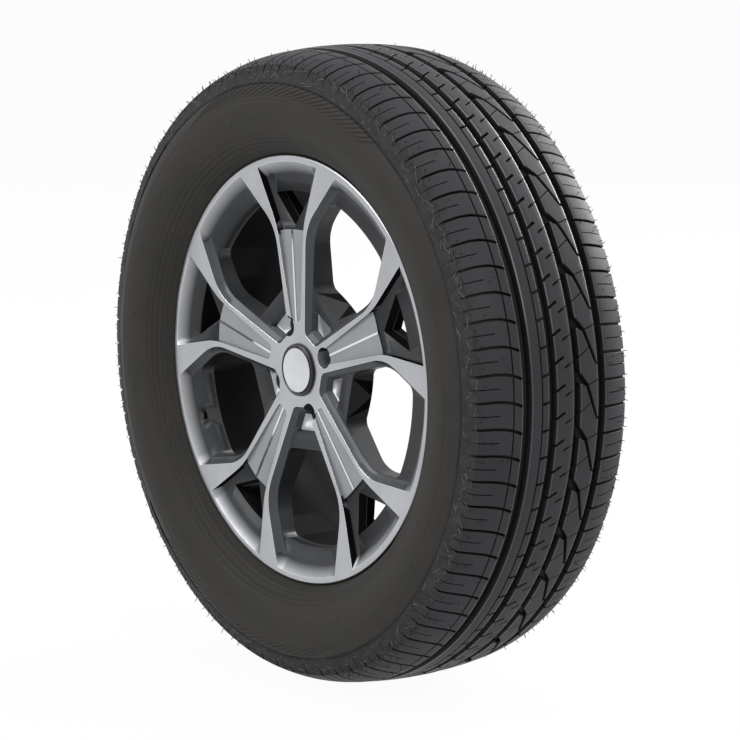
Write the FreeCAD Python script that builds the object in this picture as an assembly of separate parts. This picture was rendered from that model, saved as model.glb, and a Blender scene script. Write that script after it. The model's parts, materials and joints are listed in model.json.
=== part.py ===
import FreeCAD, Part
import math
import os

from FreeCAD import Vector

# Frame: the wheel's axis is Y through the origin, the street side faces -Y and +Z is up.

# Tyre
TYRE_RADIUS = 351.0
CROWN_ARC_RADIUS = 450.0
CROWN_HALF_WIDTH = 62.0
TREAD_HALF_WIDTH = 98.5
SHOULDER_DROP = 17.0
WING_HALF_WIDTH = 106.0
WING_DROP = 35.0
TREAD_THICKNESS = 13.0
BUFF_HALF_WIDTH = 86.0
BUFF_DROP = 25.0
BULGE_HALF_WIDTH = 113.5
BULGE_DROP = 61.0
CASING_CROWN_WALL = 9.0
SHOULDER_WALL = 15.0
SIDEWALL_WALL = 7.5
BEAD_WIDTH = 17.0
BEAD_APEX_HEIGHT = 12.0
BEAD_APEX_WALL = 19.0
SIDEWALL_FOOT_HEIGHT = 5.0
SIDEWALL_FOOT_WIDTH = 7.0
FLAT_SPOT_DEPTH = 1.7

# Tread grooves: each ring's middle and width across the tread
WIDE_GROOVES = ((-45.9, 10.6), (-13.4, 9.8), (19.3, 9.2), (55.1, 10.6))
WIDE_GROOVE_DEPTH = 7.5
GROOVE_DRAFT = 1.2
FINE_SLITS = (-62.5, -27.4)
FINE_SLIT_WIDTH = 1.5
FINE_SLIT_DEPTH = 4.5

# Tread blocks
PITCHES = 76
SHOULDER_GROOVE_WIDTH = 2.4
SHOULDER_GROOVE_DEPTH = 4.5
SHOULDER_GROOVE_EXIT = 2.0
NEAR_GROOVE_INNER = -56.0
RIB_NOTCH_WIDTH = 2.6
RIB_NOTCH_LENGTH = 13.0
RIB_NOTCH_DEPTH = 4.0
RIB_NOTCH_SLANT = 16.0
RIB_NOTCH_MIDDLE = -4.0
DIAGONAL_COUNT = 38
DIAGONAL_WIDTH = 3.2
DIAGONAL_LENGTH = 52.0
DIAGONAL_DEPTH = 5.0
DIAGONAL_SLANT = 59.0
DIAGONAL_MIDDLE = 33.0

# Rim
BEAD_SEAT_RADIUS = 218.3
RIM_WIDTH = 152.4
FLANGE_HEIGHT = 17.5
FLANGE_WIDTH = 9.8
FLANGE_CURL = 6.0
LIP_ROUND = 2.5
BEAD_FILLET = 5.0
BEAD_SEAT_WIDTH = 19.0
BEAD_SEAT_FALL = 1.6
HUMP_HEIGHT = 1.2
HUMP_WIDTH = 6.0
WELL_DEPTH = 17.3
WELL_FRONT = -40.0
WELL_BACK = 2.0
WELL_WALL = 5.0
BARREL_WALL = 6.0

# Wheel face
SPOKES = 5
FIRST_SPOKE_ANGLE = 94.4
LIP_WIDTH = 7.3
HUB_FACE_SINK = 3.5
VALLEY_DEPTH = 9.0
VALLEY_BAND = 7.5
VALLEY_STEP = 1.0
LIP_BEVEL = 13.0
VALLEY_TIP_RADIUS = 38.0
VALLEY_TIP_HALF_WIDTH = 13.2
VALLEY_BEND_RADIUS = 143.6
VALLEY_BEND_HALF_WIDTH = 70.5
VALLEY_LIP_HALF_WIDTH = 53.1
VALLEY_TIP_ROUND = 11.0
VALLEY_BEND_ROUND = 60.0
WINDOW_INNER_RADIUS = 88.0
WINDOW_ROUND = 12.0
PAD_DEPTH = 6.0
PAD_BAND = 3.0

# Twin-arm spoke
CHANNEL_DEPTH = 5.2
CHANNEL_HUB_RADIUS = 53.5
CHANNEL_HUB_HALF_WIDTH = 8.4
CHANNEL_BEND_RADIUS = 157.8
CHANNEL_BEND_HALF_WIDTH = 24.4
CHANNEL_LIP_HALF_WIDTH = 54.8
CHANNEL_HUB_ROUND = 5.0
CHANNEL_BEND_ROUND = 90.0
RIDGE_HEIGHT = 1.2
RIDGE_HALF_WIDTH = 18.0
RIDGE_LINE_WIDTH = 2.4
RIDGE_LINE_HEIGHT = 0.5
FORK_RADIUS = 154.0
FORK_SLOPE = 0.9
FORK_ROUND = 4.0
FORK_BAND = 6.0
FORK_DEPTH = 8.0
SPOKE_BACK = -60.0
SPOKE_BACK_MIDDLE = -57.0
SPOKE_BACK_MIDDLE_RADIUS = 150.0

# Hub
HUB_SEAT = -40.0
HUB_SEAT_RADIUS = 74.0
HUB_FLARE_RADIUS = 92.0
HUB_FLARE = -49.0
HUB_BORE_RADIUS = 30.05
HUB_BORE_DEPTH = 18.0
LUG_COUNT = 4
LUG_FIRST_ANGLE = 22.5
LUG_CIRCLE_RADIUS = 50.0
LUG_HOLE_RADIUS = 7.5
LUG_POCKET_RADIUS = 11.5
LUG_SEAT_THICKNESS = 14.0

# Centre cap
CAP_BORE_RADIUS = 26.0
CAP_RING_RADIUS = 28.5
CAP_RING_SEAT_DEPTH = 4.0
CAP_LAND_LENGTH = 13.0
CAP_RELIEF_RADIUS = 27.4
CAP_PROUD = 3.0
CAP_CLEARANCE = 0.2
CAP_SKIRT_WALL = 1.8
CAP_FINGERS = 6
CAP_SLOT_WIDTH = 5.0
CAP_HOOK_HEIGHT = 0.9
CAP_HOOK_LENGTH = 2.4
CAP_FLOOR = 1.6
DISC_RADIUS = 24.2
DISC_THICKNESS = 1.4
DISC_DOME = 1.6
SPRING_WIRE_RADIUS = 0.8
SPRING_GAP = 6.0

# Valve
VALVE_ANGLE = 202.4
VALVE_RISE = 10.0
VALVE_WALL = 4.0
VALVE_SEAT = -46.0
VALVE_POCKET_RADIUS = 7.5
VALVE_HOLE_RADIUS = 5.7
VALVE_HEAD_RADIUS = 8.5
VALVE_HEAD_THICKNESS = 3.6
VALVE_COLLAR_RADIUS = 6.6
VALVE_COLLAR_LENGTH = 4.0
VALVE_NECK_RADIUS = 4.6
VALVE_TUBE_RADIUS = 3.4
VALVE_TUBE_BORE = 2.2
VALVE_TUBE_LENGTH = 32.0
VALVE_CORE_RADIUS = 2.1
VALVE_CORE_LENGTH = 12.0
VALVE_PIN_RADIUS = 0.7
VALVE_PIN_LENGTH = 3.0
VALVE_CAP_RADIUS = 4.5
VALVE_CAP_LENGTH = 8.5
VALVE_CAP_ROOF = 1.5

# Clearances
BEAD_CLEARANCE = 0.2
VALVE_CLEARANCE = 0.1
PAST = 30.0

AXLE = Vector(0, 1, 0)
ORIGIN = Vector(0, 0, 0)

# Values shared by the tyre and the rim
FLANGE_FACE = RIM_WIDTH / 2
LIP_FACE = FLANGE_FACE + FLANGE_WIDTH
FLANGE_RADIUS = BEAD_SEAT_RADIUS + FLANGE_HEIGHT
WELL_RADIUS = BEAD_SEAT_RADIUS - WELL_DEPTH
WELL_INNER_RADIUS = WELL_RADIUS - WELL_WALL
VALVE_CIRCLE_RADIUS = WELL_INNER_RADIUS + VALVE_RISE
LIP_INNER_RADIUS = FLANGE_RADIUS - LIP_WIDTH
VALLEY_FLOOR = VALLEY_DEPTH - LIP_FACE
CHANNEL_FLOOR = CHANNEL_DEPTH - LIP_FACE
HUB_FACE = HUB_FACE_SINK - LIP_FACE
CAP_SEAT = HUB_FACE + CAP_RING_SEAT_DEPTH
CAP_LAND_END = CAP_SEAT + CAP_LAND_LENGTH
VALVE_MOUTH = VALVE_SEAT - VALVE_TUBE_LENGTH
VALVE_CAP_FRONT = VALVE_MOUTH - VALVE_CLEARANCE - VALVE_CAP_ROOF
VALVE_CAP_BACK = VALVE_CAP_FRONT + VALVE_CAP_LENGTH


def at(across, radius):
    """Point of a turned section: its place across the tyre and its radius."""
    return Vector(radius, across, 0)


def line(start, end):
    return Part.LineSegment(start, end).toShape()


def arc(start, middle, end):
    return Part.Arc(start, middle, end).toShape()


def leaving_arc(start, tangent, end):
    """Arc that leaves start along tangent and stops at end."""
    along = Vector(tangent).normalize()
    chord = end - start
    side = (chord - along * chord.dot(along)).normalize()
    radius = chord.Length ** 2 / (2 * chord.dot(side))
    centre = start + side * radius
    middle = (start + end) * 0.5
    return arc(start, centre + (middle - centre).normalize() * radius, end)


def polyline(points):
    return [line(a, b) for a, b in zip(points, points[1:])]


def turned(edges):
    """Solid of revolution about the axle from a closed chain of section edges."""
    wire = Part.Wire(Part.__sortEdges__(edges))
    return Part.Face(wire).revolve(ORIGIN, AXLE, 360)


def turned_polygon(points):
    return turned(polyline(points + [points[0]]))


def mirrored(point):
    return Vector(point.x, -point.y, point.z)


def spun(shape, angle):
    """Copy of a shape turned about the axle, counter-clockwise from the street side."""
    copy = shape.copy()
    copy.rotate(ORIGIN, AXLE, -angle)
    return copy


def spread(shape, count, first=0.0):
    return Part.makeCompound([spun(shape, first + 360.0 * i / count) for i in range(count)])


def rod(radius, front, back, x=0.0):
    """Cylinder along the axle between two places across the wheel, at X off the axis."""
    return Part.makeCylinder(radius, back - front, Vector(x, front, 0), AXLE)


def inset_corner(before, corner, after, inset):
    """Corner of a polygon, seen counter-clockwise, whose sides move inwards by inset."""
    first = (corner - before).normalize()
    second = (after - corner).normalize()
    first_normal = Vector(-first.z, 0, first.x)
    second_normal = Vector(-second.z, 0, second.x)
    bisector = first_normal + second_normal
    return corner + bisector * (inset / (1 + first_normal.dot(second_normal)))


def rounded_outline(half, y, inset=0.0):
    """Closed wire at Y = y, symmetric about the X axis.

    half lists (x, z, round) on the +Z side from the inner end to the outer end.
    """
    lower = [(x, -z, r) for x, z, r in half]
    upper = [(x, z, r) for x, z, r in reversed(half) if z > 0]
    ring = lower + upper
    spots = [Vector(x, y, z) for x, z, r in ring]
    count = len(ring)
    moved = [inset_corner(spots[i - 1], spots[i], spots[(i + 1) % count], inset)
             for i in range(count)]
    edges = []
    starts = []
    ends = []
    for i in range(count):
        to_before = (moved[i - 1] - moved[i]).normalize()
        to_after = (moved[(i + 1) % count] - moved[i]).normalize()
        opening = to_before.getAngle(to_after)
        turn = (spots[i] - spots[i - 1]).cross(spots[(i + 1) % count] - spots[i]).y
        radius = ring[i][2] + (inset if turn > 0 else -inset)
        reach = radius / math.tan(opening / 2) if radius > 0 else 0.0
        starts.append(moved[i] + to_before * reach)
        ends.append(moved[i] + to_after * reach)
        if reach > 0:
            edges.append(leaving_arc(starts[i], to_before * -1, ends[i]))
    for i in range(count):
        edges.append(line(ends[i], starts[(i + 1) % count]))
    return Part.Wire(Part.__sortEdges__(edges))


def prism(half, front, back, inset=0.0):
    """Outline pushed straight along the axle."""
    return Part.Face(rounded_outline(half, front, inset)).extrude(AXLE * (back - front))


def drafted(half, front, back, front_inset, back_inset):
    """Outline pushed along the axle with slanted sides."""
    wires = [rounded_outline(half, front, front_inset), rounded_outline(half, back, back_inset)]
    return Part.makeLoft(wires, True, True)


def crown_radius(across):
    """Radius of the tread surface at a place across the crown."""
    return TYRE_RADIUS - CROWN_ARC_RADIUS + math.sqrt(CROWN_ARC_RADIUS ** 2 - across ** 2)


# Points that the tread and the casing share
CROWN_END = at(CROWN_HALF_WIDTH, crown_radius(CROWN_HALF_WIDTH))
SHOULDER = at(TREAD_HALF_WIDTH, TYRE_RADIUS - SHOULDER_DROP)
WING = at(WING_HALF_WIDTH, TYRE_RADIUS - WING_DROP)
BUFF_END = at(BUFF_HALF_WIDTH, TYRE_RADIUS - BUFF_DROP)
BUFF_TOP = at(0, TYRE_RADIUS - TREAD_THICKNESS)
CROWN_TANGENT = Vector(-CROWN_HALF_WIDTH, CROWN_END.x - TYRE_RADIUS + CROWN_ARC_RADIUS, 0)


def buffed_edges():
    """Surface where the new tread is bonded to the casing, from wing to wing."""
    return [
        line(WING, BUFF_END),
        arc(BUFF_END, BUFF_TOP, mirrored(BUFF_END)),
        line(mirrored(BUFF_END), mirrored(WING)),
    ]


def ring_groove(middle, width, depth, draft):
    """Section of a groove that runs round the tread, wider at its mouth."""
    mouth = crown_radius(middle) + PAST
    floor = crown_radius(middle) - depth
    points = [
        at(middle - width / 2 + draft, floor),
        at(middle + width / 2 - draft, floor),
        at(middle + width / 2, mouth),
        at(middle - width / 2, mouth),
    ]
    return Part.Face(Part.makePolygon(points + [points[0]]))


def cross_groove(floor_points, width):
    """Slot through the tread surface with its floor along points from side to side."""
    top = TYRE_RADIUS + PAST
    outline = floor_points + [at(floor_points[-1].y, top), at(floor_points[0].y, top)]
    face = Part.Face(Part.makePolygon(outline + [outline[0]]))
    face.translate(Vector(0, 0, -width / 2))
    return face.extrude(Vector(0, 0, width))


def slanted_slot(middle, length, width, depth, slant):
    """Slot on the crown turned by slant about the tyre's radius."""
    floor = crown_radius(middle) - depth
    slot = Part.makeBox(depth + PAST, length, width, Vector(floor, -length / 2, -width / 2))
    slot.rotate(ORIGIN, Vector(1, 0, 0), slant)
    slot.translate(Vector(0, middle, 0))
    return slot


def shoulder_groove(inner, side):
    """Groove across a shoulder that runs out of the tread's edge."""
    edge = side * TREAD_HALF_WIDTH
    beyond = side * (WING_HALF_WIDTH + PAST)
    start = at(inner, crown_radius(inner) - SHOULDER_GROOVE_DEPTH)
    finish = at(edge, TYRE_RADIUS - SHOULDER_DROP - SHOULDER_GROOVE_EXIT)
    return cross_groove([start, finish, at(beyond, finish.x)], SHOULDER_GROOVE_WIDTH)


def make_tread_band():
    outer = [
        line(mirrored(WING), mirrored(SHOULDER)),
        leaving_arc(mirrored(CROWN_END), mirrored(CROWN_TANGENT), mirrored(SHOULDER)),
        arc(mirrored(CROWN_END), at(0, TYRE_RADIUS), CROWN_END),
        leaving_arc(CROWN_END, CROWN_TANGENT, SHOULDER),
        line(SHOULDER, WING),
    ]
    section = Part.Face(Part.Wire(Part.__sortEdges__(outer + buffed_edges())))
    for middle, width in WIDE_GROOVES:
        section = section.cut(ring_groove(middle, width, WIDE_GROOVE_DEPTH, GROOVE_DRAFT))
    for middle in FINE_SLITS:
        section = section.cut(ring_groove(middle, FINE_SLIT_WIDTH, FINE_SLIT_DEPTH, 0))
    band = section.Faces[0].revolve(ORIGIN, AXLE, 360)
    far_middle, far_width = WIDE_GROOVES[-1]
    pitch = 360.0 / PITCHES
    slots = [
        spread(shoulder_groove(NEAR_GROOVE_INNER, -1), PITCHES),
        spread(shoulder_groove(far_middle + far_width / 4, 1), PITCHES, pitch / 2),
        spread(slanted_slot(RIB_NOTCH_MIDDLE, RIB_NOTCH_LENGTH, RIB_NOTCH_WIDTH,
                            RIB_NOTCH_DEPTH, RIB_NOTCH_SLANT), PITCHES, pitch / 3),
        spread(slanted_slot(DIAGONAL_MIDDLE, DIAGONAL_LENGTH, DIAGONAL_WIDTH,
                            DIAGONAL_DEPTH, -DIAGONAL_SLANT), DIAGONAL_COUNT),
    ]
    band = band.cut([slot for group in slots for slot in group.Solids])
    ground = FLAT_SPOT_DEPTH - TYRE_RADIUS
    below = Part.makeBox(2 * TYRE_RADIUS, 2 * TYRE_RADIUS, PAST,
                         Vector(-TYRE_RADIUS, -TYRE_RADIUS, ground - PAST))
    return band.cut(below)


def make_tyre_casing():
    bulge = at(BULGE_HALF_WIDTH, TYRE_RADIUS - BULGE_DROP)
    heel_across = FLANGE_FACE - BEAD_CLEARANCE
    seat = BEAD_SEAT_RADIUS + BEAD_CLEARANCE
    curl = FLANGE_CURL + BEAD_CLEARANCE
    curl_centre = at(FLANGE_FACE + FLANGE_CURL, FLANGE_RADIUS - FLANGE_CURL)
    curl_top = curl_centre + at(0, curl)
    curl_low = curl_centre + at(-curl, 0)
    curl_middle = curl_centre + at(-curl, curl) * math.sqrt(0.5)
    foot = curl_top + at(SIDEWALL_FOOT_WIDTH, SIDEWALL_FOOT_HEIGHT)
    fillet = BEAD_FILLET
    heel_up = at(heel_across, seat + fillet)
    heel_in = at(heel_across - fillet, seat)
    heel_middle = at(heel_across - fillet * (1 - math.sqrt(0.5)),
                     seat + fillet * (1 - math.sqrt(0.5)))
    toe = at(heel_across - BEAD_WIDTH, seat)
    apex = at(foot.y - BEAD_APEX_WALL, foot.x + BEAD_APEX_HEIGHT)
    inner_bulge = bulge + at(-SIDEWALL_WALL, 0)
    inner_shoulder = BUFF_END + at(0, -SHOULDER_WALL)
    inner_top = BUFF_TOP + at(0, -CASING_CROWN_WALL)
    side = [
        leaving_arc(bulge, at(0, 1), WING),
        leaving_arc(bulge, at(0, -1), foot),
        line(foot, curl_top),
        arc(curl_top, curl_middle, curl_low),
        line(curl_low, heel_up),
        arc(heel_up, heel_middle, heel_in),
        line(heel_in, toe),
        line(toe, apex),
        leaving_arc(inner_bulge, at(0, -1), apex),
        leaving_arc(inner_bulge, at(0, 1), inner_shoulder),
    ]
    other_side = [edge.mirror(ORIGIN, AXLE) for edge in side]
    crown = [arc(inner_shoulder, inner_top, mirrored(inner_shoulder))]
    return turned(side + other_side + crown + buffed_edges())


def rim_side_edges(side):
    """Tyre side of one flange, bead seat and hump, from the flange's tip inwards."""
    flange = side * FLANGE_FACE
    curl_across = side * (FLANGE_FACE + FLANGE_CURL)
    curl_radius = FLANGE_RADIUS - FLANGE_CURL
    slack = 1 - math.sqrt(0.5)
    seat_end = side * (FLANGE_FACE - BEAD_SEAT_WIDTH)
    seat_radius = BEAD_SEAT_RADIUS - BEAD_SEAT_FALL
    tip = at(curl_across, FLANGE_RADIUS)
    wall_top = at(flange, curl_radius)
    wall_foot = at(flange, BEAD_SEAT_RADIUS + BEAD_FILLET)
    seat = at(flange - side * BEAD_FILLET, BEAD_SEAT_RADIUS)
    seat_low = at(seat_end, seat_radius)
    hump_end = at(seat_end - side * HUMP_WIDTH, seat_radius)
    curl_slack = FLANGE_CURL * slack
    fillet_slack = BEAD_FILLET * slack
    curl_middle = at(flange + side * curl_slack, FLANGE_RADIUS - curl_slack)
    fillet_middle = at(flange - side * fillet_slack, BEAD_SEAT_RADIUS + fillet_slack)
    hump_top = at(seat_end - side * HUMP_WIDTH / 2, seat_radius + HUMP_HEIGHT)
    edges = [
        arc(tip, curl_middle, wall_top),
        line(wall_top, wall_foot),
        arc(wall_foot, fillet_middle, seat),
        line(seat, seat_low),
        arc(seat_low, hump_top, hump_end),
    ]
    return tip, edges, hump_end


def turned_wheel():
    """Wheel before its windows: rim, disc and hub turned as one solid."""
    front_tip, front_edges, front_hump = rim_side_edges(-1)
    back_tip, back_edges, back_hump = rim_side_edges(1)
    slack = LIP_ROUND * (1 - math.sqrt(0.5))
    front_round = at(LIP_ROUND - LIP_FACE, FLANGE_RADIUS)
    front_face = at(-LIP_FACE, FLANGE_RADIUS - LIP_ROUND)
    back_round = mirrored(front_round)
    back_face = mirrored(front_face)
    seat_inner = BEAD_SEAT_RADIUS - BEAD_SEAT_FALL - BARREL_WALL
    inside = [
        back_face,
        at(LIP_FACE, BEAD_SEAT_RADIUS),
        at(FLANGE_FACE, seat_inner),
        at(back_hump.y, seat_inner),
        at(WELL_BACK, WELL_INNER_RADIUS),
        at(SPOKE_BACK, WELL_INNER_RADIUS),
        at(SPOKE_BACK_MIDDLE, SPOKE_BACK_MIDDLE_RADIUS),
        at(HUB_FLARE, HUB_FLARE_RADIUS),
        at(HUB_SEAT, HUB_SEAT_RADIUS),
        at(HUB_SEAT, HUB_BORE_RADIUS),
        at(HUB_SEAT - HUB_BORE_DEPTH, HUB_BORE_RADIUS),
        at(HUB_SEAT - HUB_BORE_DEPTH, CAP_RELIEF_RADIUS),
        at(CAP_LAND_END, CAP_RELIEF_RADIUS),
        at(CAP_LAND_END, CAP_BORE_RADIUS),
        at(CAP_SEAT, CAP_BORE_RADIUS),
        at(CAP_SEAT, CAP_RING_RADIUS + CAP_CLEARANCE),
        at(HUB_FACE, CAP_RING_RADIUS + CAP_CLEARANCE),
        at(-LIP_FACE, LIP_INNER_RADIUS),
        front_face,
    ]
    edges = front_edges + back_edges + polyline(inside)
    well_front = at(WELL_FRONT, WELL_RADIUS)
    well_back = at(WELL_BACK, WELL_RADIUS)
    edges += polyline([front_hump, well_front, well_back, back_hump])
    edges += [
        arc(front_face, at(slack - LIP_FACE, FLANGE_RADIUS - slack), front_round),
        line(front_round, front_tip),
        arc(back_face, at(LIP_FACE - slack, FLANGE_RADIUS - slack), back_round),
        line(back_round, back_tip),
    ]
    return turned(edges)


def inside_lip():
    """Space in front of the valley floors, inside the lip and its bevel."""
    return turned_polygon([
        at(-LIP_FACE - PAST, 0),
        at(-LIP_FACE - PAST, LIP_INNER_RADIUS),
        at(-LIP_FACE, LIP_INNER_RADIUS),
        at(VALLEY_FLOOR, LIP_INNER_RADIUS - LIP_BEVEL),
        at(VALLEY_FLOOR, 0),
    ])


def valley_cut():
    """Valley between two spokes with its through window, on the X axis."""
    lip = math.sqrt(LIP_INNER_RADIUS ** 2 - VALLEY_LIP_HALF_WIDTH ** 2)
    slope = (VALLEY_BEND_HALF_WIDTH - VALLEY_LIP_HALF_WIDTH) / (lip - VALLEY_BEND_RADIUS)
    beyond = LIP_INNER_RADIUS + PAST
    end = (beyond, VALLEY_LIP_HALF_WIDTH - slope * (beyond - lip), 0)
    tip = (VALLEY_TIP_RADIUS, VALLEY_TIP_HALF_WIDTH, VALLEY_TIP_ROUND)
    bend = (VALLEY_BEND_RADIUS, VALLEY_BEND_HALF_WIDTH, VALLEY_BEND_ROUND)
    outline = [tip, bend, end]
    valley = drafted(outline, -LIP_FACE, VALLEY_FLOOR, 0, VALLEY_BAND)
    valley = valley.fuse(prism(outline, -LIP_FACE - PAST, -LIP_FACE))
    valley = valley.common(inside_lip())
    run = VALLEY_BEND_RADIUS - VALLEY_TIP_RADIUS
    rise = (VALLEY_BEND_HALF_WIDTH - VALLEY_TIP_HALF_WIDTH) / run
    window_inset = VALLEY_BAND + VALLEY_STEP
    inner = WINDOW_INNER_RADIUS - window_inset
    mouth = VALLEY_TIP_HALF_WIDTH + rise * (inner - VALLEY_TIP_RADIUS)
    window = prism([(inner, mouth, WINDOW_ROUND + window_inset), bend, end],
                   VALLEY_FLOOR - VALLEY_STEP, HUB_SEAT, window_inset)
    window = window.common(rod(WELL_INNER_RADIUS, -LIP_FACE, LIP_FACE))
    corners = [edge for edge in window.Edges if is_rim_corner(edge)]
    window = window.makeFillet(WINDOW_ROUND, corners)
    pad = [tip, (inner, mouth, WINDOW_ROUND)]
    pad_pocket = drafted(pad, VALLEY_FLOOR - VALLEY_STEP, VALLEY_FLOOR + PAD_DEPTH,
                         window_inset, window_inset + PAD_BAND)
    return [valley, window, pad_pocket]


def is_rim_corner(edge):
    """True for the straight edges of a window where its sides meet the rim's barrel."""
    first, last = edge.Vertexes[0].Point, edge.Vertexes[-1].Point
    runs_along = abs(first.x - last.x) < 0.01 and abs(first.z - last.z) < 0.01
    return runs_along and abs(math.hypot(first.x, first.z) - WELL_INNER_RADIUS) < 0.01


def channel_cut():
    """Channel along one spoke with its ridge, its fork's well and window, on the X axis."""
    lip = math.sqrt(LIP_INNER_RADIUS ** 2 - CHANNEL_LIP_HALF_WIDTH ** 2)
    slope = (CHANNEL_LIP_HALF_WIDTH - CHANNEL_BEND_HALF_WIDTH) / (lip - CHANNEL_BEND_RADIUS)
    beyond = LIP_INNER_RADIUS + PAST
    outline = [
        (CHANNEL_HUB_RADIUS, CHANNEL_HUB_HALF_WIDTH, CHANNEL_HUB_ROUND),
        (CHANNEL_BEND_RADIUS, CHANNEL_BEND_HALF_WIDTH, CHANNEL_BEND_ROUND),
        (beyond, CHANNEL_LIP_HALF_WIDTH + slope * (beyond - lip), 0),
    ]
    fork_well = prism(outline, -LIP_FACE - PAST, VALLEY_FLOOR).common(inside_lip())
    channel = fork_well.common(rod(FORK_RADIUS, -LIP_FACE - PAST, CHANNEL_FLOOR))
    fork_well = fork_well.cut(rod(FORK_RADIUS, -LIP_FACE - PAST, LIP_FACE))
    ridge_length = FORK_RADIUS + PAST
    tent_points = [
        Vector(0, CHANNEL_FLOOR, -RIDGE_HALF_WIDTH),
        Vector(0, CHANNEL_FLOOR - RIDGE_HEIGHT, 0),
        Vector(0, CHANNEL_FLOOR, RIDGE_HALF_WIDTH),
        Vector(0, CHANNEL_FLOOR + RIDGE_HEIGHT, 0),
    ]
    tent_face = Part.Face(Part.makePolygon(tent_points + [tent_points[0]]))
    tent = tent_face.extrude(Vector(ridge_length, 0, 0))
    crest_top = CHANNEL_FLOOR - RIDGE_HEIGHT - RIDGE_LINE_HEIGHT
    crest = Part.makeBox(ridge_length, CHANNEL_FLOOR - crest_top, RIDGE_LINE_WIDTH,
                         Vector(0, crest_top, -RIDGE_LINE_WIDTH / 2))
    channel = channel.cut([tent, crest])
    end_half = FORK_SLOPE * (beyond - FORK_RADIUS)
    fork = [(FORK_RADIUS, 0, FORK_ROUND), (beyond, end_half, 0)]
    barrel = rod(WELL_INNER_RADIUS, -LIP_FACE - PAST, LIP_FACE)
    mouth = drafted(fork, crest_top - VALLEY_STEP, VALLEY_FLOOR + FORK_DEPTH, 0, FORK_BAND)
    mouth = mouth.common(barrel)
    window = prism(fork, VALLEY_FLOOR, HUB_SEAT, FORK_BAND + VALLEY_STEP).common(barrel)
    return [channel, fork_well, mouth, window]


def lug_cut():
    """Lug hole with its conical seat, on the X axis."""
    seat_front = HUB_SEAT - LUG_SEAT_THICKNESS
    cone_length = (LUG_POCKET_RADIUS - LUG_HOLE_RADIUS) / math.tan(math.radians(30))
    hole = rod(LUG_HOLE_RADIUS, seat_front, HUB_SEAT + PAST, LUG_CIRCLE_RADIUS)
    cone = Part.makeCone(LUG_POCKET_RADIUS, LUG_HOLE_RADIUS, cone_length,
                         Vector(LUG_CIRCLE_RADIUS, seat_front - cone_length, 0), AXLE)
    pocket = rod(LUG_POCKET_RADIUS, -LIP_FACE - PAST, seat_front - cone_length, LUG_CIRCLE_RADIUS)
    return [pocket.fuse(cone).fuse(hole)]


def valve_cut():
    """Valve hole with a flat seat on each side of its wall, on the X axis."""
    pocket = rod(VALVE_POCKET_RADIUS, -LIP_FACE, VALVE_SEAT - VALVE_WALL, VALVE_CIRCLE_RADIUS)
    hole = rod(VALVE_HOLE_RADIUS, -LIP_FACE, HUB_SEAT, VALVE_CIRCLE_RADIUS)
    seat = rod(VALVE_HEAD_RADIUS + VALVE_CLEARANCE, VALVE_SEAT, WELL_BACK, VALVE_CIRCLE_RADIUS)
    return [pocket, hole, seat]


def make_alloy_wheel():
    wheel = turned_wheel()
    half_step = 180.0 / SPOKES
    cuts = [
        (valley_cut(), SPOKES, FIRST_SPOKE_ANGLE + half_step),
        (channel_cut(), SPOKES, FIRST_SPOKE_ANGLE),
        (lug_cut(), LUG_COUNT, LUG_FIRST_ANGLE),
        (valve_cut(), 1, VALVE_ANGLE),
    ]
    for tools, count, first in cuts:
        for tool in tools:
            wheel = wheel.cut(spread(tool, count, first).Solids)
    return wheel


def make_cap_body():
    front = HUB_FACE - CAP_PROUD
    skirt = CAP_BORE_RADIUS - CAP_CLEARANCE
    skirt_inner = skirt - CAP_SKIRT_WALL
    hook = CAP_LAND_END + CAP_CLEARANCE
    disc_seat = front + DISC_THICKNESS
    disc_edge = DISC_RADIUS + CAP_CLEARANCE
    ring_land = (CAP_RING_RADIUS + disc_edge) / 2
    points = [
        at(disc_seat, 0),
        at(disc_seat, disc_edge),
        at(front, ring_land),
        at(front + CAP_PROUD / 3, CAP_RING_RADIUS),
        at(CAP_SEAT, CAP_RING_RADIUS),
        at(CAP_SEAT, skirt),
        at(hook, skirt),
        at(hook, skirt + CAP_HOOK_HEIGHT),
        at(hook + CAP_HOOK_LENGTH, skirt),
        at(hook + CAP_HOOK_LENGTH, skirt_inner),
        at(disc_seat + CAP_FLOOR, skirt_inner),
        at(disc_seat + CAP_FLOOR, 0),
    ]
    body = turned_polygon(points)
    slot = Part.makeBox(CAP_RING_RADIUS, hook + CAP_HOOK_LENGTH - CAP_SEAT, CAP_SLOT_WIDTH,
                        Vector(skirt_inner / 2, CAP_SEAT + CAP_FLOOR, -CAP_SLOT_WIDTH / 2))
    return body.cut(spread(slot, CAP_FINGERS).Solids)


def make_cap_disc():
    front = HUB_FACE - CAP_PROUD
    back = front + DISC_THICKNESS
    rim_front = at(front, DISC_RADIUS)
    top = at(front - DISC_DOME, 0)
    edges = [
        line(at(back, 0), at(back, DISC_RADIUS)),
        line(at(back, DISC_RADIUS), rim_front),
        leaving_arc(top, at(0, 1), rim_front),
        line(top, at(back, 0)),
    ]
    return turned(edges)


def make_cap_spring_ring():
    skirt_inner = CAP_BORE_RADIUS - CAP_CLEARANCE - CAP_SKIRT_WALL
    across = CAP_LAND_END
    radius = skirt_inner - CAP_CLEARANCE - SPRING_WIRE_RADIUS
    ring = Part.makeTorus(radius, SPRING_WIRE_RADIUS, Vector(0, across, 0), AXLE)
    gap = Part.makeBox(PAST, PAST, SPRING_GAP, Vector(0, across - PAST / 2, -SPRING_GAP / 2))
    return ring.cut(gap)


def at_valve(shape):
    """Shape made on the axle, moved to the valve's place on the rim."""
    shape.translate(Vector(VALVE_CIRCLE_RADIUS, 0, 0))
    return spun(shape, VALVE_ANGLE)


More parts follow.
